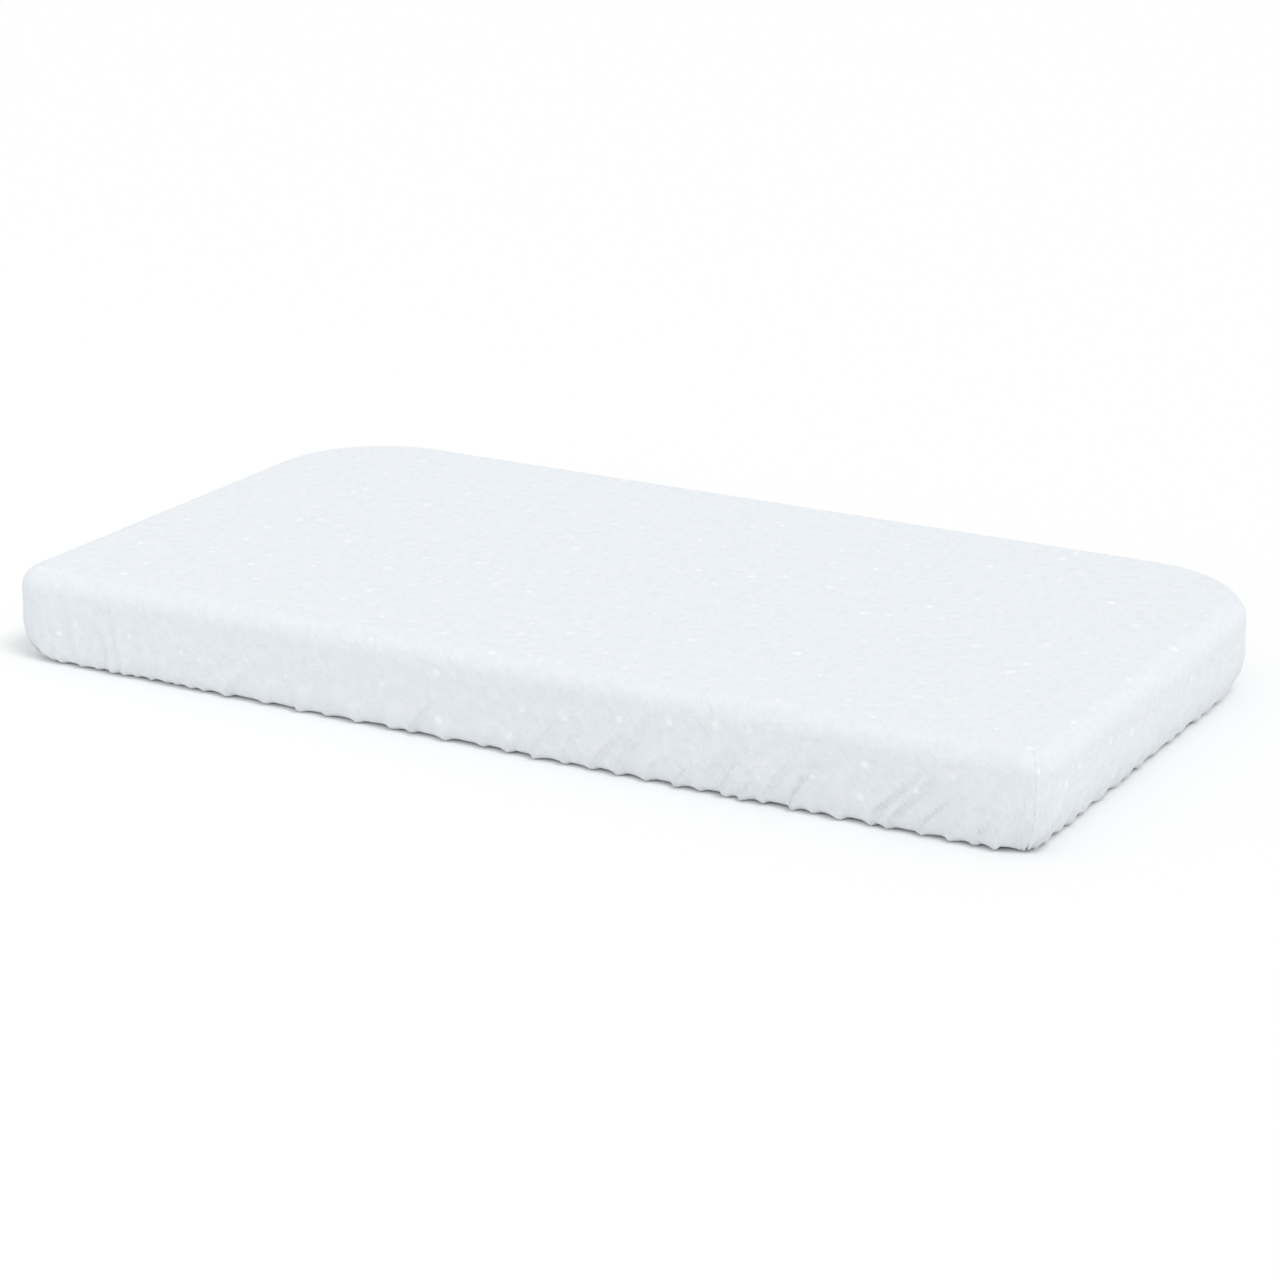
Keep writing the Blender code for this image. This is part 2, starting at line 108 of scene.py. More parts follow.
def deselect_all() -> None:
    """Leaves nothing selected and nothing active."""
    for thing in bpy.context.view_layer.objects:
        thing.select_set(False)
    bpy.context.view_layer.objects.active = None


def new_object(name: str, data: bpy.types.ID) -> Piece:
    """A new object in the scene that holds this mesh, light or camera."""
    made = bpy.data.objects.new(name, data)
    bpy.context.scene.collection.objects.link(made)
    return made


def mesh_piece(name: str, points: Array, faces: list) -> Piece:
    """A new smooth-shaded mesh object at the origin.

    Args:
        name: the piece's name.
        points: x, y, z rows.
        faces: point numbers of each face.

    Returns:
        The new object.
    """
    mesh = bpy.data.meshes.new(name)
    mesh.from_pydata([tuple(map(float, p)) for p in points], [], [tuple(map(int, f)) for f in faces])
    mesh.update()
    mesh.shade_smooth()
    return new_object(name, mesh)


def points_of(piece: Piece) -> Array:
    """The mesh's points as an array of rows."""
    flat = np.empty(len(piece.data.vertices) * 3)
    piece.data.vertices.foreach_get("co", flat)
    return flat.reshape(-1, 3)


def map_cut(piece: Piece, cuts: Array) -> None:
    """Writes each point's place on the flat cloth as the cut map.

    Args:
        piece: the mesh object.
        cuts: the flat place of each point, as rows in metres.
    """
    layer = piece.data.uv_layers.new(name=CUT_MAP)
    corners = np.empty(len(piece.data.loops), dtype=np.int64)
    piece.data.loops.foreach_get("vertex_index", corners)
    layer.data.foreach_set("uv", cuts[corners].reshape(-1))


def band_faces(rows: int, columns: int, first: int = 0, hoop: bool = False) -> list[tuple[int, ...]]:
    """Quads of a grid that closes on itself round its columns.

    Args:
        rows: number of rows.
        columns: number of columns.
        first: number of the grid's first point.
        hoop: whether the last row joins the first as well.

    Returns:
        The faces, each from a row's point to its neighbour and on to the next row.
    """
    faces = []
    for r in range(rows if hoop else rows - 1):
        low, high = first + r * columns, first + (r + 1) % rows * columns
        for c in range(columns):
            d = (c + 1) % columns
            faces.append((low + c, low + d, high + d, high + c))
    return faces


def end_caps(rows: int, columns: int) -> list[tuple[int, ...]]:
    """The faces that close a tube of such rows at its first and last row."""
    return [tuple(range(columns - 1, -1, -1)), tuple(range((rows - 1) * columns, rows * columns))]


# ----- Plan and profile -----


@dataclass(frozen=True)
class Plan:
    """A D-shaped outline: a rectangle with small front corners and large back corners.

    Measured anticlockwise from the left end of the straight front side.
    """

    half_x: float
    front_y: float
    back_y: float
    front: float
    back: float

    def runs(self) -> list[float]:
        """The lengths of the four sides and corners, in order round the outline."""
        side = self.back_y - self.front_y - self.front - self.back
        corner_front, corner_back = self.front * QUARTER, self.back * QUARTER
        front_side, back_side = 2 * (self.half_x - self.front), 2 * (self.half_x - self.back)
        return [front_side, corner_front, side, corner_back, back_side, corner_back, side, corner_front]

    def length(self) -> float:
        """The whole way round."""
        return sum(self.runs())

    def starts(self) -> Array:
        """Where each side and corner starts, and the whole length."""
        return np.concatenate([[0.0], np.cumsum(self.runs())])

    def at(self, along: Array) -> tuple[Array, Array]:
        """Points on the outline and the outward normals there.

        Args:
            along: distances round the outline; they wrap.

        Returns:
            Two arrays of x, y rows.
        """
        hx, low, high, rf, rb = self.half_x, self.front_y, self.back_y, self.front, self.back
        starts = self.starts()
        along = np.mod(np.asarray(along, float), starts[-1])
        index = np.clip(np.searchsorted(starts, along, side="right") - 1, 0, 7)
        local = along - starts[index]
        points, normals = np.zeros((len(along), 2)), np.zeros((len(along), 2))
        sides = {
            0: ((-(hx - rf), low), (1, 0), (0, -1)),
            2: ((hx, low + rf), (0, 1), (1, 0)),
            4: ((hx - rb, high), (-1, 0), (0, 1)),
            6: ((-hx, high - rb), (0, -1), (-1, 0)),
        }
        for k, (start, way, normal) in sides.items():
            here = index == k
            points[here] = np.array(start) + local[here, None] * np.array(way)
            normals[here] = normal
        corners = {
            1: ((hx - rf, low + rf), rf, -90),
            3: ((hx - rb, high - rb), rb, 0),
            5: ((-(hx - rb), high - rb), rb, 90),
            7: ((-(hx - rf), low + rf), rf, 180),
        }
        for k, (centre, radius, start) in corners.items():
            here = index == k
            angle = math.radians(start) + local[here] / radius
            normal = np.stack([np.cos(angle), np.sin(angle)], axis=1)
            points[here] = np.array(centre) + radius * normal
            normals[here] = normal
        return points, normals

    def spread(self, count: int, inset: float = 0.0) -> tuple[Array, Array]:
        """Points evenly round the outline, this far inside it, and the outward normals there."""
        points, normals = self.at(np.arange(count) * self.length() / count)
        return points - normals * inset, normals

    def across_to(self, other: "Plan", along: Array) -> Array:
        """Distances round another outline that lie square across from these.

        Straight stretches stay square to the side, and the corners take up what is left over.

        Args:
            other: the outline to reach across to.
            along: distances round this outline.

        Returns:
            Distances round the other outline.
        """
        mine, theirs, tiny = self.starts(), other.starts(), 1e-6
        keys, values = [], []
        for k in (0, 2, 4, 6):
            origin, ahead = self.at(np.array([mine[k], mine[k] + tiny]))[0]
            start = other.at(np.array([theirs[k]]))[0][0]
            first = (start - origin) @ ((ahead - origin) / tiny)
            last = first + theirs[k + 1] - theirs[k]
            low, high = max(first, 0.0), min(last, mine[k + 1] - mine[k])
            keys += [mine[k] + low, mine[k] + high]
            values += [theirs[k] + low - first, theirs[k] + high - first]
        keys, values = np.array(keys), np.array(values)
        keys = np.concatenate([keys - mine[-1], keys, keys + mine[-1]])
        values = np.concatenate([values - theirs[-1], values, values + theirs[-1]])
        return np.interp(along, keys, values)

    def depth(self, points: Array) -> Array:
        """How deep each point lies inside the outline.

        Args:
            points: x, y rows.

        Returns:
            Depths in metres, below zero outside.
        """
        corner = np.where(points[:, 1] < 0, self.front, self.back)
        across = np.abs(points[:, 0]) - (self.half_x - corner)
        reach = np.where(points[:, 1] < 0, self.front_y - points[:, 1], points[:, 1] - self.back_y)
        along = reach + corner
        outside = np.hypot(np.maximum(across, 0), np.maximum(along, 0))
        inside = np.minimum(np.maximum(across, along), 0)
        return corner - (outside + inside)


@dataclass(frozen=True)
class Body:
    """The mattress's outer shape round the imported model, layer by layer."""

    front_corner: float = 20 * MM
    back_corner: float = 95 * MM
    top_roll: float = 15 * MM
    bottom_roll: float = 9 * MM
    tuck: float = 17 * MM
    tuck_rise: float = 31 * MM
    corner_spread: float = 12 * MM
    hem_inset: float = 40 * MM
    hem_width: float = 12 * MM
    hem_front_corner: float = 55 * MM
    hem_back_corner: float = 78 * MM
    cloth: float = 0.8 * MM
    least_corner: float = 0.5 * MM

    def high(self) -> Vector:
        """The sheet's highest corner."""
        return Vector(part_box("fitted_sheet")[1])

    def low(self) -> float:
        """The level of the sheet's underside."""
        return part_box("sheet_hem_casing")[1][2] - self.cloth

    def plan(self, inset: float = 0.0, tuck: Pair = NO_TUCK) -> Plan:
        """The outline this far in, with the front side and the rest drawn in further.

        Args:
            inset: from the side of the sheet.
            tuck: how much further in the front side is, and the ends and the back.

        Returns:
            The outline.
        """
        front_tuck, round_tuck = tuck
        x, y = self.high().x, self.high().y
        spread = self.corner_spread * round_tuck / self.tuck
        return Plan(
            x - inset - round_tuck,
            -(y - inset - front_tuck),
            y - inset - round_tuck,
            max(self.front_corner + spread - inset, self.least_corner),
            max(self.back_corner - inset, self.least_corner),
        )

    def tuck_at(self, level: float, depth: float = 0.0, underside: float | None = None) -> Pair:
        """How far a layer's front, and its ends and back, are drawn in at a level.

        Args:
            level: height above the floor.
            depth: how far inside the sheet the layer lies.
            underside: the layer's lowest level; the sheet's where it isn't given.

        Returns:
            The tuck of the front, and of the ends and the back.
        """
        underside = self.low() if underside is None else underside
        drawn = []
        for across, rise in ((self.bottom_roll, self.bottom_roll), (self.tuck, self.tuck_rise)):
            centre = self.low() + rise
            drop = min(max((centre - level) / (centre - underside), 0.0), 1.0)
            drawn.append((across - depth) * (1 - math.sqrt(1 - drop * drop)))
        return tuple(drawn)

    def hem_plan(self, extra: float = 0.0) -> Plan:
        """The outline of the hem's outer edge, or of a line this much further in."""
        inset = self.hem_inset + extra
        x, y = self.high().x, self.high().y
        return Plan(
            x - inset, -(y - inset), y - inset, self.hem_front_corner - extra, self.hem_back_corner - extra
        )


# ----- Finishes -----


def set_inputs(tree: bpy.types.NodeTree, node: bpy.types.Node, inputs: dict) -> None:
    """Sets or links a node's inputs.

    Args:
        tree: the material's node tree.
        node: the node.
        inputs: socket name or number to a value, or to an output socket that feeds it.
    """
    for name, value in inputs.items():
        socket = node.inputs[name]
        if isinstance(value, bpy.types.NodeSocket):
            tree.links.new(value, socket)
        else:
            socket.default_value = value


def add_node(
    tree: bpy.types.NodeTree, kind: str, settings: dict | None = None, inputs: dict | None = None
) -> bpy.types.Node:
    """Adds a node with its settings, and sets or links its inputs.

    Args:
        tree: the material's node tree.
        kind: the node's type, without the ShaderNode prefix.
        settings: attribute values.
        inputs: socket name or number to a value, or to an output socket that feeds it.

    Returns:
        The new node.
    """
    made = tree.nodes.new("ShaderNode" + kind)
    for name, value in (settings or {}).items():
        setattr(made, name, value)
    set_inputs(tree, made, inputs or {})
    return made


@dataclass(frozen=True)
class Nodes:
    """Short ways to add the nodes that the finishes share. Each returns an output socket."""

    tree: bpy.types.NodeTree

    def place(self) -> Socket:
        """The piece's own coordinates."""
        return add_node(self.tree, "TexCoord").outputs["Object"]

    def mapping(self, place: Socket, **inputs: tuple) -> Socket:
        """Coordinates turned or scaled."""
        return add_node(self.tree, "Mapping", {}, {"Vector": place, **inputs}).outputs[0]

    def clouds(
        self, place: Socket, size: float, detail: float, flat: bool = False, **inputs: float
    ) -> Socket:
        """Noise with lumps of this size, on flat cloth or in space."""
        settings = {"noise_dimensions": "2D"} if flat else {}
        values = {"Vector": place, "Scale": 1 / size, "Detail": detail, **inputs}
        return add_node(self.tree, "TexNoise", settings, values).outputs[0]

    def bands(self, place: Socket, way: str, pitch: float, distortion: float) -> Socket:
        """Fine bands across one axis, this far apart."""
        return add_node(
            self.tree, "TexWave", {"wave_type": "BANDS", "bands_direction": way},
            {"Vector": place, "Scale": BAND_SPAN / pitch, "Distortion": distortion, "Detail": 1.0},
        ).outputs[1]

    def calc(self, operation: str, *values: Socket | float) -> Socket:
        """The result of a math node."""
        return add_node(self.tree, "Math", {"operation": operation}, dict(enumerate(values))).outputs[0]

    def remap(self, value: Socket, low: Pair, high: Pair, way: str = "LINEAR") -> Socket:
        """A value carried from one range to another."""
        ends = {"From Min": low[0], "From Max": low[1], "To Min": high[0], "To Max": high[1]}
        inputs = {"Value": value, **ends}
        return add_node(self.tree, "MapRange", {"interpolation_type": way}, inputs).outputs[0]

    def tone(self, value: Socket, ends: Pair, deep: str, plain: str) -> Socket:
        """A blend from a deep colour to a plain one, between two values."""
        ramp = add_node(self.tree, "ValToRGB", {}, {0: value})
        first, last = ramp.color_ramp.elements
        first.position, last.position = ends
        first.color, last.color = linear(deep), linear(plain)
        return ramp.outputs[0]

    def bump(self, height: Socket, strength: float, distance: float, under: Socket | None = None) -> Socket:
        """A bumped normal, over another one where it is given."""
        inputs = {"Height": height, "Strength": strength, "Distance": distance}
        if under is not None:
            inputs["Normal"] = under
        return add_node(self.tree, "Bump", {}, inputs).outputs[0]


class Finish:
    """What every finish shares: a new material whose Principled shader it fills in."""

    name: str

    def inputs(self, nodes: Nodes) -> dict:
        """The shader's values, and the sockets that feed it."""
        raise NotImplementedError

    def build(self) -> bpy.types.Material:
        """Makes the material."""
        material = bpy.data.materials.new(self.name)
        material.use_nodes = True
        tree = material.node_tree
        set_inputs(tree, tree.nodes["Principled BSDF"], self.inputs(Nodes(tree)))
        return material


@dataclass(frozen=True)
class MuslinFinish(Finish):
    """Crinkled cotton double gauze, piece dyed and printed with scattered small dots.

    Gives the eye a matt, faintly mottled pale blue with soft puckers and lighter specks.
    """

    name: str = "crinkled cotton muslin"
    ground: str = "#E6EAEE"
    ground_deep: str = "#E1E6EA"
    dot: str = "#F7FAFC"
    thread: float = 0.7 * MM  # gauze threads are 0.35 mm apart; drawn at twice that to show
    crinkle: float = 5 * MM
    dot_spacing: float = 36 * MM
    dot_radius: float = 2.8 * MM
    dot_fray: float = 1.6 * MM
    mottle: float = 9 * MM

    def inputs(self, nodes: Nodes) -> dict:
        """Printed dots on a mottled ground, and puckers under the weave, on the flat cloth."""
        cut = add_node(nodes.tree, "UVMap", {"uv_map": CUT_MAP}).outputs[0]
        mottled = nodes.clouds(cut, self.mottle, 3.0, True, Roughness=0.6)
        ground = nodes.tone(mottled, (0.34, 0.66), self.ground_deep, self.ground)

        cell = add_node(
            nodes.tree, "TexVoronoi", {"voronoi_dimensions": "2D", "feature": "F1"},
            {"Vector": cut, "Scale": 1 / self.dot_spacing, "Randomness": 1.0},
        )
        chance = add_node(nodes.tree, "SeparateColor", {}, {0: cell.outputs["Color"]})
        fade = nodes.remap(chance.outputs[0], (0.1, 0.9), (0.08, 0.6))
        spread = nodes.remap(chance.outputs[1], (0.0, 1.0), (0.65, 1.6))
        near = self.dot_radius / self.dot_spacing
        frayed = nodes.clouds(cut, self.dot_fray, 1.0, True)
        ragged = nodes.calc("MULTIPLY_ADD", frayed, -0.6 * near, cell.outputs["Distance"])
        ragged = nodes.calc("DIVIDE", ragged, spread)
        inked = nodes.remap(ragged, (0.0, near * 0.9), (1.0, 0.0), "SMOOTHSTEP")
        printed = add_node(
            nodes.tree, "Mix", {"data_type": "RGBA"},
            {0: nodes.calc("MULTIPLY", inked, fade), 6: ground, 7: linear(self.dot)},
        ).outputs[2]

        squeezed = nodes.mapping(cut, Scale=(1.0, 0.8, 1.0))
        puckers = nodes.clouds(squeezed, self.crinkle, 2.5, True, Roughness=0.55, Distortion=0.3)
        ridged = nodes.calc("PINGPONG", puckers, 0.12)
        weave = nodes.calc("ADD", *(nodes.bands(cut, way, self.thread, 0.6) for way in "XY"))
        creased = nodes.bump(ridged, 0.16, 2.0 * MM, nodes.bump(puckers, 0.45, 2.0 * MM))
        return {
            "Base Color": printed,
            "Normal": nodes.bump(weave, 0.25, 0.12 * MM, creased),
            "Roughness": 0.9,
            "IOR": 1.46,
            "Specular IOR Level": 0.25,
            "Sheen Weight": 0.12,
            "Sheen Roughness": 0.6,
        }


@dataclass(frozen=True)
class WovenFinish(Finish):
    """A plain woven or knitted cloth.

    Gives the eye fine crossing ribs, painted darker in the grooves between them as painted shade, and a
    slightly uneven, matt colour.
    """

    name: str
    colour: str
    colour_deep: str
    thread: float = 0.6 * MM
    roughness: float = 0.85
    relief: float = 0.15 * MM
    sheen: float = 0.1
    slant: float = 0.0
    cloud: float = 14 * MM

    def inputs(self, nodes: Nodes) -> dict:
        """Crossing ribs with painted shade in their grooves, and a cloudy tone."""
        place = nodes.place()
        turned = nodes.mapping(place, Rotation=(0.0, 0.0, self.slant))
        ribs = [nodes.bands(turned, way, self.thread, 0.4) for way in "XYZ"]
        weave = nodes.calc("ADD", nodes.calc("MULTIPLY", ribs[0], ribs[1]), ribs[2])
        # painted shade: the weave's low grooves darken the colour, on top of the random cloudy tone
        tone_and_painted_shade = nodes.calc("MULTIPLY_ADD", weave, 0.2, nodes.clouds(place, self.cloud, 4.0))
        return {
            "Base Color": nodes.tone(tone_and_painted_shade, (0.35, 0.8), self.colour_deep, self.colour),
            "Normal": nodes.bump(weave, 0.6, self.relief),
            "Roughness": self.roughness,
            "Sheen Weight": self.sheen,
        }


@dataclass(frozen=True)
class CellFinish(Finish):
    """Cast foam, loose fibre or a sprayed film.

    Gives the eye small open pores, painted darker inside as painted shade, and a faint cloudiness of colour.
    """

    name: str
    colour: str
    colour_deep: str
    pore: float = 0.9 * MM  # real pores are about 0.4 mm; drawn larger to show
    relief: float = 0.4 * MM
    roughness: float = 0.95
    cloud: float = 25 * MM

    def inputs(self, nodes: Nodes) -> dict:
        """Pores with painted shade in their hollows, and a cloudy tone."""
        place = nodes.place()
        pores = add_node(
            nodes.tree, "TexVoronoi", {"feature": "F1"}, {"Vector": place, "Scale": 1 / self.pore}
        ).outputs["Distance"]
        # painted shade: the pore hollows darken the colour, on top of the random cloudy tone
        tone_and_painted_shade = nodes.calc("MULTIPLY_ADD", pores, 0.35, nodes.clouds(place, self.cloud, 5.0))
        return {
            "Base Color": nodes.tone(tone_and_painted_shade, (0.3, 0.85), self.colour_deep, self.colour),
            "Normal": nodes.bump(pores, 0.7, self.relief),
            "Roughness": self.roughness,
        }


@dataclass(frozen=True)
class PlatedFinish(Finish):
    """Die-cast zinc with nickel plate, tumbled.

    Gives the eye a soft grey gloss with fine scratches along the piece.
    """

    name: str = "nickel-plated zinc"
    colour: str = "#BFC0C2"
    scratch: float = 0.25 * MM

    def inputs(self, nodes: Nodes) -> dict:
        """Long scratches in the gloss and the surface."""
        marks = nodes.clouds(nodes.mapping(nodes.place(), Scale=(0.12, 1.0, 1.0)), self.scratch, 2.0)
        return {
            "Base Color": linear(self.colour),
            "Metallic": 1.0,
            "Roughness": nodes.remap(marks, (0.0, 1.0), (0.22, 0.42)),
            "Normal": nodes.bump(marks, 0.15, 0.03 * MM),
        }


@dataclass(frozen=True)
class NylonFinish(Finish):
    """Extruded nylon monofilament.

    Gives the eye a milky, slightly glossy plastic with faint cloudiness.
    """

    name: str = "nylon monofilament"
    colour: str = "#EDEEEF"
    colour_deep: str = "#E2E4E6"
    cloud: float = 3 * MM

    def inputs(self, nodes: Nodes) -> dict:
        """A cloudy tone under an even gloss."""
        cloudy = nodes.clouds(nodes.place(), self.cloud, 3.0)
        return {
            "Base Color": nodes.tone(cloudy, (0.35, 0.7), self.colour_deep, self.colour),
            "Roughness": 0.35,
            "IOR": 1.53,
        }


class Looks(Enum):
    """The finish of every piece, by its slot in the record."""

    MUSLIN = ("muslin", MuslinFinish())
    SEAM_THREAD = (
        "seam_thread",
        WovenFinish("polyester sewing thread", "#EFF3F6", "#E4E9EE", 0.25 * MM, 0.6, 0.05 * MM),
    )
    ELASTIC = ("elastic", WovenFinish("braided elastic", "#E9E9E4", "#DCDCD6", 0.9 * MM, 0.7, 0.2 * MM))
    LABEL = ("label", WovenFinish("woven satin", "#F6F6F4", "#EFEFEC", 0.3 * MM, 0.45, 0.04 * MM))
    COVER_KNIT = (
        "cover_knit",
        WovenFinish("polyester jersey", "#EFEFEB", "#E9E9E5", 0.8 * MM, 0.85, 0.25 * MM, 0.15, 0.35),
    )
    WADDING = ("wadding", CellFinish("bonded polyester fibre", "#F6F6F4", "#EAEAE7", 2.5 * MM, 0.8 * MM))
    ZIP_TAPE = (
        "zip_tape",
        WovenFinish("herringbone zip tape", "#E4E6E9", "#D6D9DD", 0.5 * MM, 0.8, 0.1 * MM, 0.05, 0.6),
    )
    ZIP_COIL = ("zip_coil", NylonFinish())
    ZIP_METAL = ("zip_metal", PlatedFinish())
    LINER = (
        "liner",
        WovenFinish("thin cotton jersey", "#F1F1EE", "#E8E8E4", 0.5 * MM, 0.9, 0.08 * MM, 0.05, 0.35),
    )
    MEMORY_FOAM = ("memory_foam", CellFinish("viscoelastic foam", "#F1E6C2", "#EBDEB4", 0.9 * MM, 0.3 * MM))
    ADHESIVE = (
        "adhesive", CellFinish("sprayed contact adhesive", "#E9E9DC", "#DADAC8", 1.8 * MM, 0.2 * MM, 0.5)
    )
    SUPPORT_FOAM = ("support_foam", CellFinish("polyether foam", "#E1E7EC", "#D9E0E6", 1.3 * MM, 0.5 * MM))

    def dress(self, piece: Piece) -> None:
        """Gives a piece this finish, made once."""
        slot, look = self.value
        material = bpy.data.materials.get(look.name) or look.build()
        piece.data.materials.clear()
        piece.data.materials.append(material)


# ----- The fitted sheet -----


@dataclass(frozen=True)
class GatherStyle:
    """How the elastic gathers one stretch of the skirt. Pairs are the least and the most."""

    spacing: Pair
    lean: Pair  # run along the side for each metre up, to the right where positive
    reach: Pair  # how far up the side a crease runs
    height: Pair
    width: Pair


class Stretch(Enum):
    """The stretches of the skirt, each with its own gathers."""

    FRONT_LEFT = GatherStyle((9 * MM, 17 * MM), (-0.35, 0.3), (40 * MM, 84 * MM),
                             (1.3 * MM, 2.7 * MM), (2.2 * MM, 4.0 * MM))
    FRONT_MIDDLE = GatherStyle((15 * MM, 34 * MM), (0.45, 0.95), (14 * MM, 40 * MM),
                               (1.8 * MM, 3.6 * MM), (3.4 * MM, 6.0 * MM))
    FRONT_RIGHT = GatherStyle((11 * MM, 24 * MM), (0.55, 1.05), (28 * MM, 72 * MM),
                              (2.2 * MM, 4.2 * MM), (3.4 * MM, 6.0 * MM))
    ENDS = GatherStyle((14 * MM, 30 * MM), (-0.45, 0.45), (16 * MM, 48 * MM),
                       (1.0 * MM, 2.4 * MM), (4.0 * MM, 7.5 * MM))
    BACK_CORNERS = GatherStyle((9 * MM, 16 * MM), (-0.2, 0.2), (24 * MM, 56 * MM),
                               (1.2 * MM, 2.4 * MM), (3.5 * MM, 6.0 * MM))
    BACK = GatherStyle((15 * MM, 34 * MM), (-0.7, 0.7), (14 * MM, 46 * MM),
                       (1.2 * MM, 2.6 * MM), (4.0 * MM, 7.0 * MM))


@dataclass(frozen=True)
class Crease:
    """One fold that starts at the elastic and runs out and up until it dies."""

    base: float
    lean: float
    bow: float
    reach: float
    height: float
    width: float
    hand: float


@dataclass
class Gathers:
    """All the folds that the elastic draws into the skirt."""

    body: Body
    seed: int = 11
    bow: float = 5 * MM
    under_width: float = 0.55  # a fold's width at the hem, as a share of its width at the edge
    under_height: float = 0.55
    flute_pitch: float = 7.5 * MM
    flute_height: float = 1.0 * MM
    flute_drift: float = 23 * MM  # the flutes crowd and spread over about six times this
    flute_swell: float = 57 * MM  # and grow and shrink over about six times this
    lean_rise: float = 6 * MM  # a fold starts upright, and leans half its lean at this height
    flare: float = 0.8  # how much wider a fold is where it dies, as a share of its width
    steep: float = 0.5  # a fold's steep flank, as a share of its width
    soft: float = 1.1  # its soft flank
    pile: float = 0.3  # how much of a fold still shows where it crosses a higher one
    end_room: float = 9 * MM  # the last fold stands at least this far short of the first
    left_end: float = -0.24  # where the front's left stretch ends along X
    middle_end: float = 0.02  # where its middle stretch ends

    def stretch_at(self, place: Array) -> GatherStyle:
        """The style of the stretch of side that this x, y point lies on."""
        x, y = place
        plan = self.body.plan()
        if y < plan.front_y + plan.front:
            if x < self.left_end:
                return Stretch.FRONT_LEFT.value
            return Stretch.FRONT_MIDDLE.value if x < self.middle_end else Stretch.FRONT_RIGHT.value
        if y > plan.back_y - plan.back and abs(x) > plan.half_x - plan.back:
            return Stretch.BACK_CORNERS.value
        return Stretch.ENDS.value if abs(x) > plan.half_x - 1 * MM else Stretch.BACK.value

    def creases(self) -> list[Crease]:
        """Every crease round the mattress, from the same seed each time."""
        draw = np.random.default_rng(self.seed)
        plan = self.body.plan()
        along, made = 0.0, []
        while along < plan.length() - self.end_room:
            style = self.stretch_at(plan.at(np.array([along]))[0][0])
            lean, bow = draw.uniform(*style.lean), draw.uniform(-self.bow, self.bow)
            reach, height = draw.uniform(*style.reach), draw.uniform(*style.height)
            width, hand = draw.uniform(*style.width), draw.choice([-1.0, 1.0], p=[0.3, 0.7])
            made.append(Crease(along, lean, bow, reach, height, width, hand))
            along += draw.uniform(*style.spacing)
        return made

    def relief(self, along: Array, up: Array) -> Array:
        """How far the cloth stands off the mattress.

        Args:
            along: distance round the side, for each column.
            up: distance up the skirt from the foot's edge, rows by columns, below zero underneath.

        Returns:
            Heights in metres, rows by columns.
        """
        total = self.body.plan().length()
        under = np.clip(-up / -up.min(axis=0), 0.0, 1.0)
        over = np.maximum(up, 0.0)
        relief = np.zeros(up.shape)
        for crease in self.creases():
            rise = np.clip(over / crease.reach, 0, 1)
            middle = crease.base + crease.lean * over * over / (over + self.lean_rise)
            middle = middle + crease.bow * np.sin(math.pi * rise)
            width = crease.width * (1 - (1 - self.under_width) * under) * (1 + self.flare * rise)
            off = (along[None, :] - middle + total / 2) % total - total / 2
            off = off * crease.hand / width
            soft = np.exp(-np.abs(off / self.soft) ** 1.4)
            shape = np.where(off > 0, np.exp(-((off / self.steep) ** 2)), soft)
            fade = 1 - smooth_step(rise, 0.2, 1.0)
            height = crease.height * (1 - (1 - self.under_height) * under) * fade
            fold = height * shape
            relief = np.maximum(relief, fold) + self.pile * np.minimum(relief, fold)
        flute = np.sin(2 * math.pi * along / self.flute_pitch + 1.7 * np.sin(along / self.flute_drift))
        flute *= 0.6 + 0.4 * np.sin(along / self.flute_swell + 1.0)
        relief += self.flute_height * smooth_step(under, 0.35, 1.0) * (0.5 + 0.5 * flute)[None, :]
        return relief


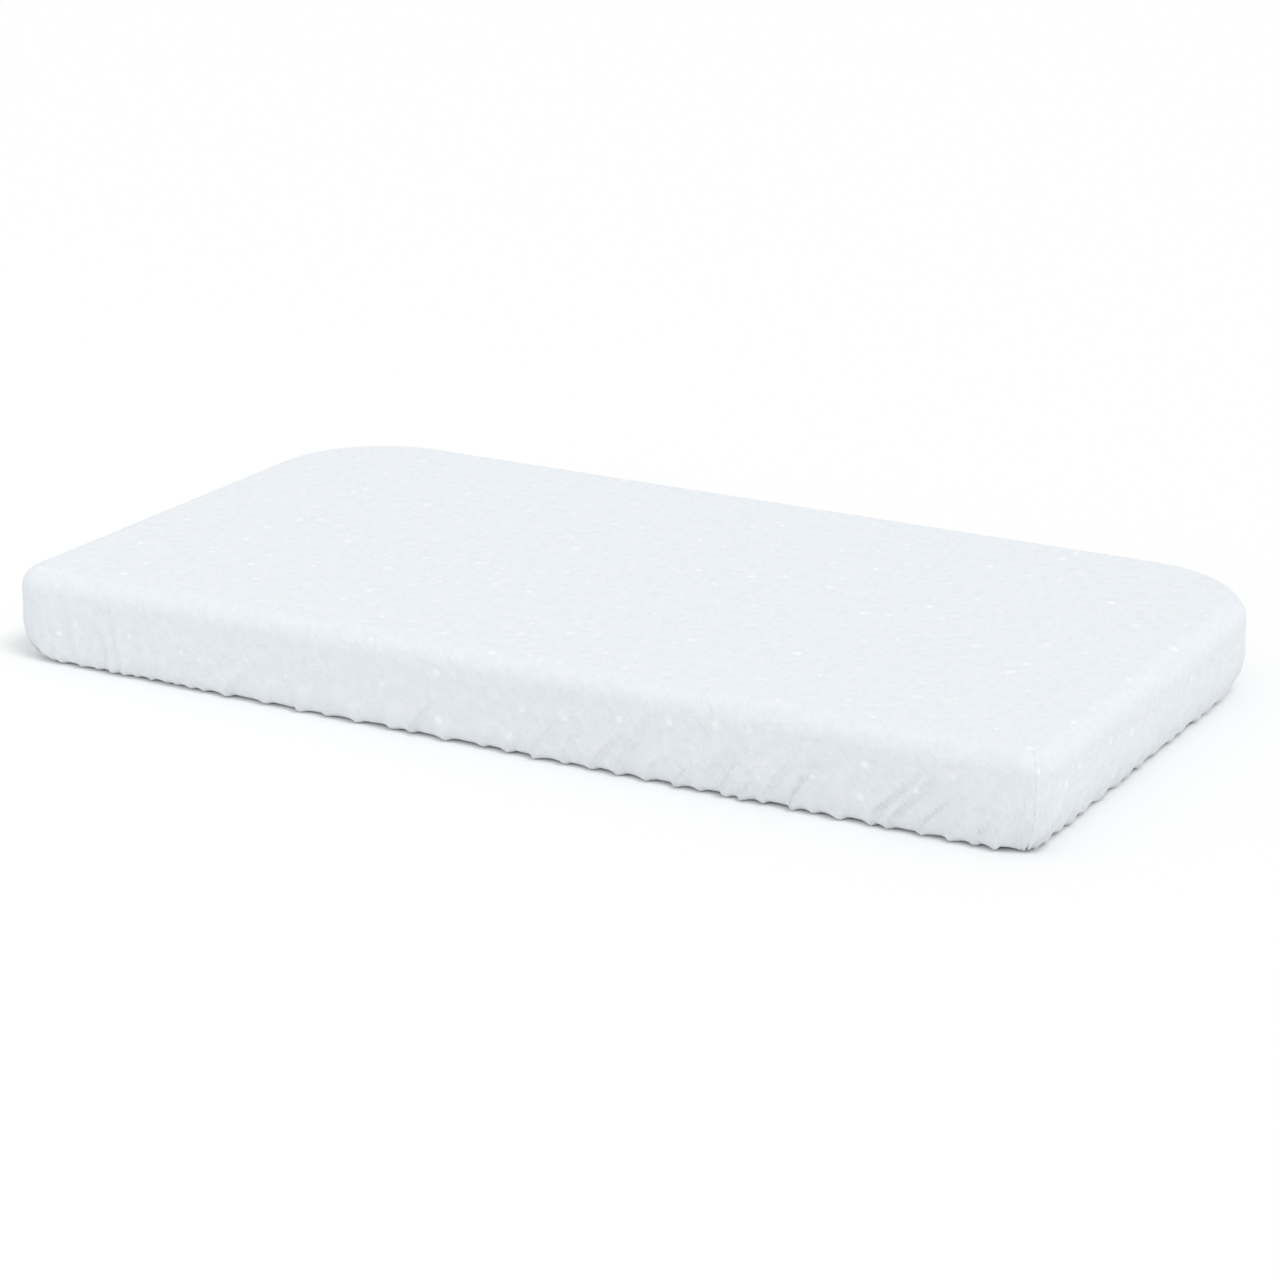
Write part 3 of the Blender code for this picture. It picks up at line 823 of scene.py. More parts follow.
@dataclass
class FittedSheet:
    """The muslin sheet: a smooth top, a skirt gathered by the hem's elastic, and its inner face."""

    body: Body
    column_spacing: float = 2.7 * MM
    row_spacing: float = 2.7 * MM
    top_margin: float = 4 * MM  # flat top that still belongs to the skirt's rows
    top_spacing: float = 5.2 * MM
    floor_gap: float = 0.3 * MM
    sag: float = 2.4 * MM  # how far the foot's edge hangs below the flap
    sag_starts: Pair = (-9 * MM, -1 * MM)  # where the sag sets in, down from the foot's edge
    sag_ends: Pair = (9 * MM, 24 * MM)
    edge_share: float = 0.3  # the height of the foot's edge, as a share of its roll
    swell_size: float = 60 * MM
    swell_height: float = 0.7 * MM
    pucker_size: float = 8 * MM
    pucker_height: float = 0.25 * MM
    slack_size: float = 40 * MM
    press: float = 0.8 * MM  # the height below which the floor presses the cloth up
    inner_share: float = 0.75  # how much of the folds the inner face follows
    inner_coarse: float = 2.6  # how much coarser the inner face's top is
    edge_room: float = 0.6  # how near to the edge the top's points lie, in steps
    crown_fine_size: float = 11 * MM
    crown_fine_height: float = 0.12 * MM
    crown_swell_height: float = 0.25 * MM
    columns: int = field(init=False, default=0)
    rows: int = field(init=False, default=0)

    def stations(self) -> list[tuple[float, float, Pair]]:
        """The skirt's section from the flat top down to the end of the foot.

        Returns:
            The inset, level and tuck of each row.
        """
        body, top, low = self.body, self.body.high().z, self.body.low()
        roll = body.top_roll
        steps = round(roll * QUARTER / self.row_spacing)
        quarter = [QUARTER * k / steps for k in range(steps + 1)]
        section = [(roll + self.top_margin, top), (roll + self.top_margin / 3, top)]
        section += [(roll - roll * math.sin(a), top - roll + roll * math.cos(a)) for a in quarter]
        foot = low + body.bottom_roll
        steps = round((top - roll - foot) / self.row_spacing)
        section += [(0.0, top - roll - (top - roll - foot) * k / steps) for k in range(1, steps + 1)]
        steps = round(body.bottom_roll * QUARTER / self.row_spacing) + 2
        for k in range(1, steps + 1):
            section.append((0.0, foot - body.bottom_roll * math.sin(QUARTER * k / steps)))
        return [(inset, level, NO_TUCK if inset else body.tuck_at(level)) for inset, level in section]

    def lay(self) -> dict[str, Array]:
        """Lays the skirt's grid smoothly on the body.

        Returns:
            Grids of rows by columns: places, outward normals, the flat cut and the distance up
            from the foot's lower edge, with the distance along for each column.
        """
        side = self.body.plan()
        total = side.length()
        self.columns = 4 * round(total / self.column_spacing / 4)
        along = np.arange(self.columns) * total / self.columns
        places = []
        for inset, level, tuck in self.stations():
            plan = self.body.plan(inset, tuck)
            outline = plan.at(side.across_to(plan, along))[0]
            places.append(np.column_stack([outline, np.full(self.columns, level)]))
        hem = self.body.hem_plan()
        hem_line = hem.at(side.across_to(hem, along))[0]
        last = places[-1][:, :2]
        steps = round((self.body.hem_inset - self.body.tuck) / self.row_spacing)
        for k in range(1, steps + 1):
            plan = last + (hem_line - last) * k / steps
            places.append(np.column_stack([plan, np.full(self.columns, self.body.low())]))
        rest = np.array(places)
        self.rows = len(rest)
        downward = np.gradient(rest, axis=0)
        onward = np.roll(rest, -1, axis=1) - np.roll(rest, 1, axis=1)
        normal = np.cross(downward, onward)
        normal /= np.linalg.norm(normal, axis=2, keepdims=True)
        steps = np.linalg.norm(np.diff(rest, axis=0), axis=2)
        travelled = np.concatenate([np.zeros((1, self.columns)), np.cumsum(steps, axis=0)])
        edge_level = self.body.low() + self.edge_share * self.body.bottom_roll
        edge = np.array([
            np.interp(-edge_level, -rest[:, c, 2], travelled[:, c]) for c in range(self.columns)
        ])
        cut = rest[0, :, :2][None] + side.at(along)[1][None] * travelled[..., None]
        return {"rest": rest, "normal": normal, "cut": cut, "along": along, "up": edge[None, :] - travelled}

    def gather(self, laid: dict[str, Array]) -> Array:
        """Folds, swells and puckers the smooth skirt, and lets its lower edge hang on the floor.

        Args:
            laid: the grids that lay returns.

        Returns:
            The skirt's places, rows by columns.
        """
        rest, normal, up = laid["rest"], laid["normal"], laid["up"]
        relief = Gathers(self.body).relief(laid["along"], up)
        flat = rest.reshape(-1, 3)
        side = smooth_step(np.arange(self.rows) / self.rows, 0.05, 0.3)[:, None]
        swell = field_noise(flat * np.array([1, 1, 1.5]), self.swell_size, 3.0).reshape(up.shape)
        pucker = field_noise(flat * np.array([1.3, 1.3, 1.0]), self.pucker_size, 1.0).reshape(up.shape)
        relief = relief + self.swell_height * (swell + 0.4) * side
        relief = relief + self.pucker_height * pucker * (0.4 + 0.6 * side)
        places = rest + normal * relief[..., None]
        edge = smooth_step(-up, *self.sag_starts) * (1 - smooth_step(-up, *self.sag_ends))
        slack = 0.75 + 0.35 * field_noise(flat, self.slack_size, 8.0).reshape(up.shape)
        places[..., 2] -= self.sag * edge * np.clip(slack, 0.6, 1.2)
        depth = places[..., 2] - self.floor_gap
        pressed = self.press * np.exp(np.minimum(depth / self.press - 1, 0))
        places[..., 2] = self.floor_gap + np.where(depth > self.press, depth, pressed)
        return places

    def fill(self, edge: Array, step: float) -> tuple[Array, list]:
        """Points and faces that close the top inside its edge ring.

        Args:
            edge: the ring's x, y, z rows, anticlockwise.
            step: spacing of the points.

        Returns:
            The new points' x, y rows and the faces, which number the ring first.
        """
        inner = self.body.plan(self.body.top_roll + self.top_margin)
        xs = np.arange(-inner.half_x, inner.half_x + step, step)
        ys = np.arange(inner.front_y, inner.back_y + step, step * math.sqrt(3) / 2)
        grid = np.array([(x + (step / 2) * (j % 2), y) for j, y in enumerate(ys) for x in xs])
        grid = grid[inner.depth(grid) > step * self.edge_room]
        flat = [Vector(p[:2]) for p in edge] + [Vector(p) for p in grid]
        loop = [(i, (i + 1) % len(edge)) for i in range(len(edge))]
        made = geometry.delaunay_2d_cdt(flat, loop, [], 1, 1e-7)
        points = np.array([tuple(p) for p in made[0]])
        return points[len(edge):], [tuple(f) for f in made[2]]

    def crown(self, points: Array) -> Array:
        """Height of the top's soft, uneven surface above its level, at x, y rows."""
        flat = np.column_stack([points, np.zeros(len(points))])
        fine = field_noise(flat * np.array([1.0, 1.4, 1.0]), self.crown_fine_size, 1.0)
        swell = field_noise(flat, self.swell_size, 3.0)
        return self.crown_fine_height * fine + self.crown_swell_height * swell

    def build(self) -> tuple[Piece, Array]:
        """Makes the sheet: outer skirt and top, inner face, and the edge that joins them.

        Returns:
            The sheet with its cut map, and the skirt's places.
        """
        laid = self.lay()
        skirt = self.gather(laid)
        rows, columns, cloth = self.rows, self.columns, self.body.cloth
        level = self.body.high().z
        inside, top_faces = self.fill(skirt[0], self.top_spacing)
        crown = np.column_stack([inside, level + self.crown(inside)])
        stand = ((skirt - laid["rest"]) * laid["normal"]).sum(axis=2)[::2, ::2]
        inner = (laid["rest"] - laid["normal"] * cloth)[::2, ::2]
        inner = inner + laid["normal"][::2, ::2] * self.inner_share * np.maximum(stand, 0.0)[..., None]
        under_points, under_faces = self.fill(inner[0], self.inner_coarse * self.top_spacing)
        under = np.column_stack([under_points, np.full(len(under_points), level - cloth)])

        faces = [(a, d, c, b) for a, b, c, d in band_faces(rows, columns)]
        offset = rows * columns - columns
        faces += [tuple(i if i < columns else i + offset for i in f) for f in top_faces]
        start = rows * columns + len(crown)
        in_rows, in_columns = inner.shape[:2]
        faces += [(b, c, d, a) for a, b, c, d in band_faces(in_rows, in_columns, start)]
        shift = start + in_rows * in_columns - in_columns
        faces += [
            tuple(start + i if i < in_columns else i + shift for i in f[::-1]) for f in under_faces
        ]
        outer_last, inner_last = (rows - 1) * columns, start + (in_rows - 1) * in_columns
        for c in range(columns // 2):
            a, b, d = outer_last + 2 * c, outer_last + 2 * c + 1, outer_last + (2 * c + 2) % columns
            e, f = inner_last + c, inner_last + (c + 1) % (columns // 2)
            faces += [(a, e, b), (b, e, f), (b, f, d)]

        points = np.concatenate([skirt.reshape(-1, 3), crown, inner.reshape(-1, 3), under])
        piece = mesh_piece("muslin_sheet", points, faces)
        cut, in_cut = (laid["cut"][::step, ::step].reshape(-1, 2) for step in (1, 2))
        map_cut(piece, np.concatenate([cut, inside, in_cut, under_points]))
        return piece, skirt


# ----- Shells, patches and repeats -----


def outward(piece: Piece) -> Piece:
    """Turns a closed mesh's faces round if they look inwards."""
    shaped = bmesh.new()
    shaped.from_mesh(piece.data)
    if shaped.calc_volume(signed=True) < 0:
        bmesh.ops.reverse_faces(shaped, faces=shaped.faces)
    shaped.to_mesh(piece.data)
    shaped.free()
    return piece


def packed(node: str) -> tuple[Vector, Vector]:
    """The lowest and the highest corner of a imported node."""
    low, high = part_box(node)
    return Vector(low), Vector(high)


def settle_in(piece: Piece, look: Looks, *nodes: str, rides: str = "mattress") -> None:
    """Dresses a piece, rides it on its body and reports it.

    Args:
        piece: the piece.
        look: its finish.
        nodes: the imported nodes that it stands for, if any.
        rides: the body that carries it.
    """
    look.dress(piece)
    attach(piece, rides)
    if nodes:
        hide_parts(*nodes)
    log.info("%s: %d faces", piece.name, len(piece.data.polygons))


@dataclass
class Shells:
    """Layers that follow the mattress's outline, made as stacks of rings."""

    body: Body
    columns: int = 360
    foot_bunch: float = 1.6  # how closely the foot's lowest rings lie together

    def ring(self, inset: float, level: float, tuck: Pair = NO_TUCK) -> Array:
        """One ring of points at an inset, a level and a tuck."""
        return self.ring_on(self.body.plan(inset, tuck), level)

    def ring_on(self, plan: Plan, level: float) -> Array:
        """One ring of points on a given outline, in step with the side's columns."""
        side = self.body.plan()
        along = np.arange(self.columns) * side.length() / self.columns
        outline = plan.at(side.across_to(plan, along))[0]
        return np.column_stack([outline, np.full(self.columns, level)])

    def top_edge(self, depth: float, level: float, steps: int = 8) -> list[Array]:
        """Rings down the soft upper edge of a layer, from its flat top to its side.

        Args:
            depth: how far inside the sheet the layer lies.
            level: the layer's highest level.
            steps: number of rings less one.

        Returns:
            The rings, highest first.
        """
        roll = self.body.top_roll
        centre = self.body.high().z - roll
        across, high = roll - depth, level - centre
        angles = [QUARTER * k / steps for k in range(steps + 1)]
        return [self.ring(roll - across * math.sin(a), centre + high * math.cos(a)) for a in angles]

    def foot(
        self,
        depth: float,
        underside: float,
        low: float | None = None,
        high: float | None = None,
        steps: int = 14,
    ) -> list[Array]:
        """Rings up the drawn-in foot of a layer.

        Args:
            depth: how far inside the sheet the layer lies.
            underside: the layer's lowest level.
            low: where the rings start; at the underside where it isn't given.
            high: where they end; where the foot starts to draw in where it isn't given.
            steps: number of rings less one.

        Returns:
            The rings, lowest first and closest together there.
        """
        low = underside if low is None else low
        high = self.body.low() + self.body.tuck_rise if high is None else high
        levels = [low + (high - low) * share for share in np.linspace(0, 1, steps + 1) ** self.foot_bunch]
        return [self.ring(depth, level, self.body.tuck_at(level, depth, underside)) for level in levels]

    def loft(self, name: str, rings: list[Array], hoop: bool = False) -> Piece:
        """Joins rings into a closed piece.

        Args:
            name: the piece's name.
            rings: the rings in order.
            hoop: whether the last ring joins the first; if not, both ends are capped.

        Returns:
            The new piece.
        """
        faces = band_faces(len(rings), self.columns, hoop=hoop)
        if not hoop:
            faces += end_caps(len(rings), self.columns)
        piece = outward(mesh_piece(name, np.concatenate(rings), faces))
        piece.data.set_sharp_from_angle(angle=SHARP)
        return piece


def patch(
    name: str,
    low: tuple[float, float, float],
    high: tuple[float, float, float],
    spacing: float,
    lift: float,
) -> Piece:
    """A thin rectangular cloth with a slightly uneven surface.

    Args:
        name: the piece's name.
        low: lowest corner.
        high: highest corner.
        spacing: distance between its points.
        lift: how far its surface wanders down from the top level, at most.

    Returns:
        The new piece.
    """
    across = max(2, round((high[0] - low[0]) / spacing)) + 1
    along = max(2, round((high[1] - low[1]) / spacing)) + 1
    xs, ys = np.linspace(low[0], high[0], across), np.linspace(low[1], high[1], along)
    flat = np.array([(x, y, 0.0) for y in ys for x in xs])
    lump, seed = 9 * MM, 6.0
    wander = lift * (0.5 + 0.5 * np.clip(field_noise(flat, lump, seed), -1, 1))
    top, bottom = flat.copy(), flat.copy()
    top[:, 2], bottom[:, 2] = high[2] - wander, low[2] + lift - wander
    n = across * along
    faces = []
    for j in range(along - 1):
        for i in range(across - 1):
            a = j * across + i
            faces.append((a, a + 1, a + across + 1, a + across))
            faces.append((n + a, n + a + across, n + a + across + 1, n + a + 1))
    rim = list(range(across))
    rim += [j * across + across - 1 for j in range(1, along)]
    rim += [(along - 1) * across + i for i in range(across - 2, -1, -1)]
    rim += [j * across for j in range(along - 2, 0, -1)]
    for a, b in zip(rim, rim[1:] + rim[:1]):
        faces.append((a, n + a, n + b, b))
    piece = outward(mesh_piece(name, np.concatenate([top, bottom]), faces))
    piece.data.set_sharp_from_angle(angle=SHARP)
    return piece


def repeat(name: str, model: Piece, places: list[Matrix]) -> Piece:
    """One piece made of copies of a small model, which is then removed.

    Args:
        name: the new piece's name.
        model: the shape that repeats, at the origin.
        places: where each copy goes.

    Returns:
        The new piece.
    """
    shape = points_of(model)
    faces = [tuple(p.vertices) for p in model.data.polygons]
    rows, cells = [], []
    for k, place in enumerate(places):
        turn, shift = np.array(place.to_3x3()), np.array(place.translation)
        rows.append(shape @ turn.T + shift)
        cells += [tuple(i + k * len(shape) for i in f) for f in faces]
    bpy.data.objects.remove(model, do_unlink=True)
    return mesh_piece(name, np.concatenate(rows), cells)


def facing(way: Vector, up: Vector, place: Vector) -> Matrix:
    """A placement whose X runs along way and whose Z is as near to up as it can be."""
    x = way.normalized()
    y = up.cross(x).normalized()
    turn = Matrix((x, y, x.cross(y))).transposed().to_4x4()
    return Matrix.Translation(place) @ turn


def primitive(add: Callable, size: tuple, shift: tuple = (0.0, 0.0, 0.0), **options: float) -> Piece:
    """A primitive turned to lie along X, and shaped in edit mode so that its origin stays put.

    Args:
        add: the operator that adds it.
        size: how much it is scaled each way, once turned.
        shift: how far it is then moved.
        options: the operator's own options.

    Returns:
        The new object.
    """
    deselect_all()
    add(**options)
    made = bpy.context.active_object
    bpy.ops.object.mode_set(mode="EDIT")
    bpy.ops.mesh.select_all(action="SELECT")
    bpy.ops.transform.rotate(value=QUARTER, orient_axis="Y", center_override=(0, 0, 0))
    bpy.ops.transform.resize(value=size, center_override=(0, 0, 0))
    bpy.ops.transform.translate(value=shift)
    bpy.ops.object.mode_set(mode="OBJECT")
    return made


@dataclass(frozen=True)
class Stitch:
    """A plump stitch on a face that looks down: its pitch along the row, length and thread."""

    pitch: float
    length: float
    thread: float

    def sew(self, name: str, spots: list[tuple[Vector, Vector]]) -> Piece:
        """One piece of stitches, each at a place and running along a way."""
        model = primitive(
            bpy.ops.mesh.primitive_uv_sphere_add,
            (self.length, self.thread, self.thread),
            segments=6,
            ring_count=5,
            radius=0.5,
        )
        return repeat(name, model, [facing(way, DOWN, place) for place, way in spots])

    def sew_round(self, name: str, outline: Plan, level: float, inset: float = 0.0) -> Piece:
        """One piece of stitches all round an outline, this far inside it."""
        points, normals = outline.spread(round(outline.length() / self.pitch), inset)
        return self.sew(
            name,
            [(Vector((x, y, level)), Vector((-v, u, 0))) for (x, y), (u, v) in zip(points, normals)],
        )


# ----- Hem and seams of the sheet -----


@dataclass
class Hem:
    """The gathered casing with its elastic and its stitching, and the two corner seams."""

    body: Body
    columns: int = 1400
    pitch: float = 7.5 * MM
    drift: float = 31 * MM  # the flutes crowd and spread over about six times this
    slim: float = 0.98 * MM  # half height between flutes
    plump: float = 1.78 * MM  # half height at a flute's crest
    hollow: float = 0.65 * MM  # half height of the channel for the elastic
    stitch: Stitch = Stitch(3.4 * MM, 2.6 * MM, 0.35 * MM)
    stitch_inset: float = 1.6 * MM
    seam_width: float = 3.0 * MM
    seam_height: float = 0.45 * MM
    seam_start: float = 0.35  # where the seam starts, as a share of the top's roll
    seam_pucker: float = 0.16
    elastic_width: float = 8 * MM
    elastic_columns: int = 700

    def casing(self) -> Piece:
        """The casing: a fluted skin and the channel inside it."""
        hem, width = self.body.hem_plan(), self.body.hem_width
        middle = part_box("sheet_hem_casing")[1][2] / 2
        along = np.arange(self.columns) * hem.length() / self.columns
        flute = 0.5 + 0.5 * np.sin(2 * math.pi * along / self.pitch + 1.9 * np.sin(along / self.drift))
        half = self.slim + (self.plump - self.slim) * flute
        skin = [(0.0, -0.2), (0.03, -0.55), (0.2, -1.0), (0.5, -0.93), (0.82, -1.0), (0.95, -0.6),
                (1.0, 0.0), (0.95, 0.6), (0.82, 1.0), (0.5, 0.93), (0.2, 1.0), (0.03, 0.55), (0.0, 0.2)]
        channel = [(0.22, -1.0), (0.88, -1.0), (0.93, 0.0), (0.88, 1.0), (0.22, 1.0), (0.15, 0.0)]
        hollow = np.full(self.columns, self.hollow)
        rings = [
            np.column_stack([hem.spread(self.columns, share * width)[0], middle + high * thick])
            for section, thick in ((skin, half), (channel, hollow))
            for share, high in section
        ]
        faces = band_faces(len(skin), self.columns, hoop=True)
        inner = band_faces(len(channel), self.columns, len(skin) * self.columns, hoop=True)
        points = np.concatenate(rings)
        casing = outward(mesh_piece("hem_casing", points, faces + [f[::-1] for f in inner]))
        map_cut(casing, points[:, :2] * 1.02)
        return casing

    def stitches(self) -> Piece:
        """The row of stitches on the casing's underside, beside its outer edge."""
        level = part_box("sheet_hem_casing")[1][2] / 2 - self.slim * 0.98
        return self.stitch.sew_round("hem_stitches", self.body.hem_plan(), level, self.stitch_inset)

    def corner_seam(self, name: str, sheet: FittedSheet, skirt: Array, column: float) -> Piece:
        """The raised seam that closes one front corner's dart, laid on the gathered cloth.

        Args:
            name: the piece's name.
            sheet: the sheet, for its rows.
            skirt: the gathered places, rows by columns.
            column: the corner's column.

        Returns:
            The seam.
        """
        at = round(column)
        first = round(self.body.top_roll * self.seam_start / sheet.row_spacing) + 2
        last = sheet.rows - round((self.body.hem_inset - self.body.tuck) / sheet.row_spacing)
        spine = skirt[first:last, at]
        side = skirt[first:last, (at + 1) % sheet.columns] - skirt[first:last, at - 1]
        side /= np.linalg.norm(side, axis=1, keepdims=True)
        run = np.gradient(spine, axis=0)
        normal = np.cross(run, side)
        normal /= np.linalg.norm(normal, axis=1, keepdims=True)
        steps = len(spine)
        share = np.linspace(0, 1, steps)
        taper = np.sqrt(np.clip(np.sin(math.pi * np.clip(share, 0.02, 0.98)) * 3, 0, 1))
        pucker = 1 + self.seam_pucker * np.sin(np.arange(steps) * 2.1)
        half = self.seam_width / 2 * taper * pucker
        high = self.seam_height * taper
        section = [(-1.0, -0.4), (-0.75, 0.45), (-0.2, 1.0), (0.3, 0.95), (0.8, 0.4), (1.0, -0.4)]
        rows = [spine + side * (half * u)[:, None] + normal * (high * v)[:, None] for u, v in section]
        points = np.stack(rows, axis=1).reshape(-1, 3)
        n = len(section)
        seam = outward(mesh_piece(name, points, band_faces(steps, n) + end_caps(steps, n)))
        map_cut(seam, np.column_stack([points[:, 0] - points[:, 1], points[:, 2]]))
        return seam

    def build(self, sheet: FittedSheet, skirt: Array) -> list[Piece]:
        """Args:
            sheet: the sheet, for its rows and columns.
            skirt: the gathered places, rows by columns.

        Returns:
            The pieces that go with the sheet.
        """
        casing = self.casing()
        settle_in(casing, Looks.MUSLIN, "sheet_hem_casing")
        stitches = self.stitches()
        settle_in(stitches, Looks.SEAM_THREAD)
        made = [casing, stitches]
        starts = self.body.plan().starts()
        step = starts[-1] / sheet.columns
        for name, along in (
            ("right", (starts[1] + starts[2]) / 2),
            ("left", (starts[7] + starts[8]) / 2),
        ):
            seam = self.corner_seam(f"corner_seam_{name}", sheet, skirt, along / step)
            settle_in(seam, Looks.MUSLIN, f"sheet_corner_seam_{name}")
            made.append(seam)
        return made

    def elastic(self) -> Piece:
        """The flat braided elastic inside the casing."""
        low, high = packed("sheet_hem_elastic")
        inner = self.body.hem_plan().half_x + self.body.hem_inset
        outer = inner - high.x - self.body.hem_inset
        shells = Shells(self.body, self.elastic_columns)
        section = [(0, 0.2), (0, 0.8), (0.06, 1.0), (0.94, 1.0), (1, 0.8), (1, 0.2), (0.94, 0), (0.06, 0)]
        rings = [
            shells.ring_on(
                self.body.hem_plan(outer + share * self.elastic_width), low.z + (high.z - low.z) * level
            )
            for share, level in section
        ]
        return shells.loft("hem_elastic", rings, hoop=True)


# ----- Cover, core and labels -----


@dataclass
class Cover:
    """The zip-off cover: top panel, wadding, border and bottom panel with the zip's slot."""

    body: Body
    cloth: float = 1.2 * MM
    gap: float = 0.3 * MM
    wadding: float = 4 * MM
    seam_below_roll: float = 3 * MM
    border_foot: float = 20 * MM
    slot_corner: float = 0.8 * MM
    slot_play: float = 0.5 * MM
    pad_steps: int = 8

    def build(self) -> None:
        shells, body = Shells(self.body), self.body
        depth = body.cloth + self.gap
        inner = depth + self.cloth
        top = body.high().z - body.cloth - self.gap
        seam = body.high().z - body.top_roll - self.seam_below_roll
        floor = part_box("cover_bottom_panel")[0][2]
        under = shells.top_edge(inner, top - self.cloth) + [shells.ring(inner, seam)]
        over = [shells.ring(depth, seam)] + shells.top_edge(depth, top)[::-1]
        panel = shells.loft("cover_top", under + over)
        settle_in(panel, Looks.COVER_KNIT, "cover_top_panel")

        low, high = self.border_foot + self.gap, seam - self.gap
        out = shells.foot(depth, floor, low=low) + [shells.ring(depth, high)]
        back = [shells.ring(inner, high)] + shells.foot(inner, floor + self.cloth, low=low)[::-1]
        border = shells.loft("cover_border_band", out + back, hoop=True)
        settle_in(border, Looks.COVER_KNIT, "cover_border")

        slot_high = Vector(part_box("zip_top_stop")[1])
        slider_high = Vector(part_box("zip_slider")[1])
        half_x, half_y = slot_high.x + self.slot_play, slider_high.y + self.slot_play
        slot = Plan(half_x, -half_y, half_y, self.slot_corner, self.slot_corner)
        inside = shells.foot(inner, floor + self.cloth, high=self.border_foot)
        outside = shells.foot(depth, floor, high=self.border_foot)[::-1]
        lips = [shells.ring_on(slot, floor), shells.ring_on(slot, floor + self.cloth)]
        bottom = shells.loft("cover_bottom", inside + outside + lips, hoop=True)
        settle_in(bottom, Looks.COVER_KNIT, "cover_bottom_panel")

        centre = body.high().z - body.top_roll
        pad = inner + self.gap
        fibre_top = top - self.cloth - self.gap
        across, rise = body.top_roll - pad, fibre_top - centre
        start = math.asin((rise - self.wadding) / rise)
        angles = [start + (QUARTER - start) * k / self.pad_steps for k in range(self.pad_steps + 1)]
        rings = [
            shells.ring(body.top_roll - across * math.cos(a), centre + rise * math.sin(a)) for a in angles
        ]
        wadding = shells.loft("wadding", rings)
        settle_in(wadding, Looks.WADDING, "cover_wadding")


@dataclass
class Core:
    """The two foams with their adhesive film, in a jersey liner that is open underneath."""

    body: Body
    liner_depth: float = 2.6 * MM
    liner_cloth: float = 0.6 * MM
    core_depth: float = 3.5 * MM
    film_margin: float = 3 * MM
    mouth_room: float = 8 * MM  # from the zip's tapes to the liner's edge
    groove_play: float = 0.5 * MM
    groove_corner: float = 1 * MM

    def build(self) -> None:
        shells, body = Shells(self.body), self.body
        low, high = packed("core_liner")
        inner = self.liner_depth + self.liner_cloth
        inside = shells.top_edge(inner, high.z - self.liner_cloth)
        inside += shells.foot(inner, low.z + self.liner_cloth)[::-1]
        tape_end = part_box("zip_tape_front")[1][0]
        lip = body.high().x - tape_end - self.mouth_room
        mouth = [shells.ring(lip, low.z + self.liner_cloth), shells.ring(lip, low.z)]
        outside = shells.foot(self.liner_depth, low.z) + shells.top_edge(self.liner_depth, high.z)[::-1]
        liner = shells.loft("liner", inside + mouth + outside)
        settle_in(liner, Looks.LINER, "core_liner")

        low, high = packed("memory_foam_layer")
        rings = [shells.ring(self.core_depth, low.z)] + shells.top_edge(self.core_depth, high.z)[::-1]
        foam = shells.loft("memory_foam", rings)
        settle_in(foam, Looks.MEMORY_FOAM, "memory_foam_layer")

        low, high = packed("foam_adhesive")
        film_inset = self.core_depth + self.film_margin
        film = shells.loft("adhesive_film", [shells.ring(film_inset, low.z), shells.ring(film_inset, high.z)])
        settle_in(film, Looks.ADHESIVE, "foam_adhesive")

        low, high = packed("support_foam_base")
        slider = Vector(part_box("zip_slider")[1])
        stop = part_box("zip_top_stop")[1][0]
        half_x, half_y = stop + self.groove_play, slider.y + self.groove_play
        groove = Plan(half_x, -half_y, half_y, self.groove_corner, self.groove_corner)
        roof = slider.z + self.groove_play
        rings = [shells.ring_on(groove, roof), shells.ring_on(groove, low.z)]
        rings += shells.foot(self.core_depth, low.z) + [shells.ring(self.core_depth, high.z)]
        base = shells.loft("support_foam", rings)
        settle_in(base, Looks.SUPPORT_FOAM, "support_foam_base")


@dataclass
class Labels:
    """Two blank satin labels, sewn down along both short edges."""

    spacing: float = 1.2 * MM
    lift: float = 0.12 * MM
    side_margin: float = 1.5 * MM
    end_margin: float = 1.5 * MM
    stitch: Stitch = Stitch(2.4 * MM, 1.8 * MM, 0.3 * MM)

    def sewing(self, name: str, low: tuple[float, ...], high: tuple[float, ...]) -> Piece:
        """The stitches along a label's two short edges, given its corners."""
        run = high[1] - low[1] - 2 * self.end_margin
        count = round(run / self.stitch.pitch)
        spots = [
            (Vector((x, low[1] + self.end_margin + run * k / count, low[2])), Vector((0, 1, 0)))
            for x in (low[0] + self.side_margin, high[0] - self.side_margin)
            for k in range(count + 1)
        ]
        return self.stitch.sew(name, spots)

    def build(self) -> None:
        """Makes both labels and the stitches that sew them down."""
        for name, node in (("sheet_label", "sheet_care_label"), ("cover_label", "cover_care_label")):
            low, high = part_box(node)
            label = patch(name, tuple(low), tuple(high), self.spacing, self.lift)
            settle_in(label, Looks.LABEL, node)
            sewn = self.sewing(f"{name}_sewing", low, high)
            settle_in(sewn, Looks.SEAM_THREAD)


# ----- Zip -----


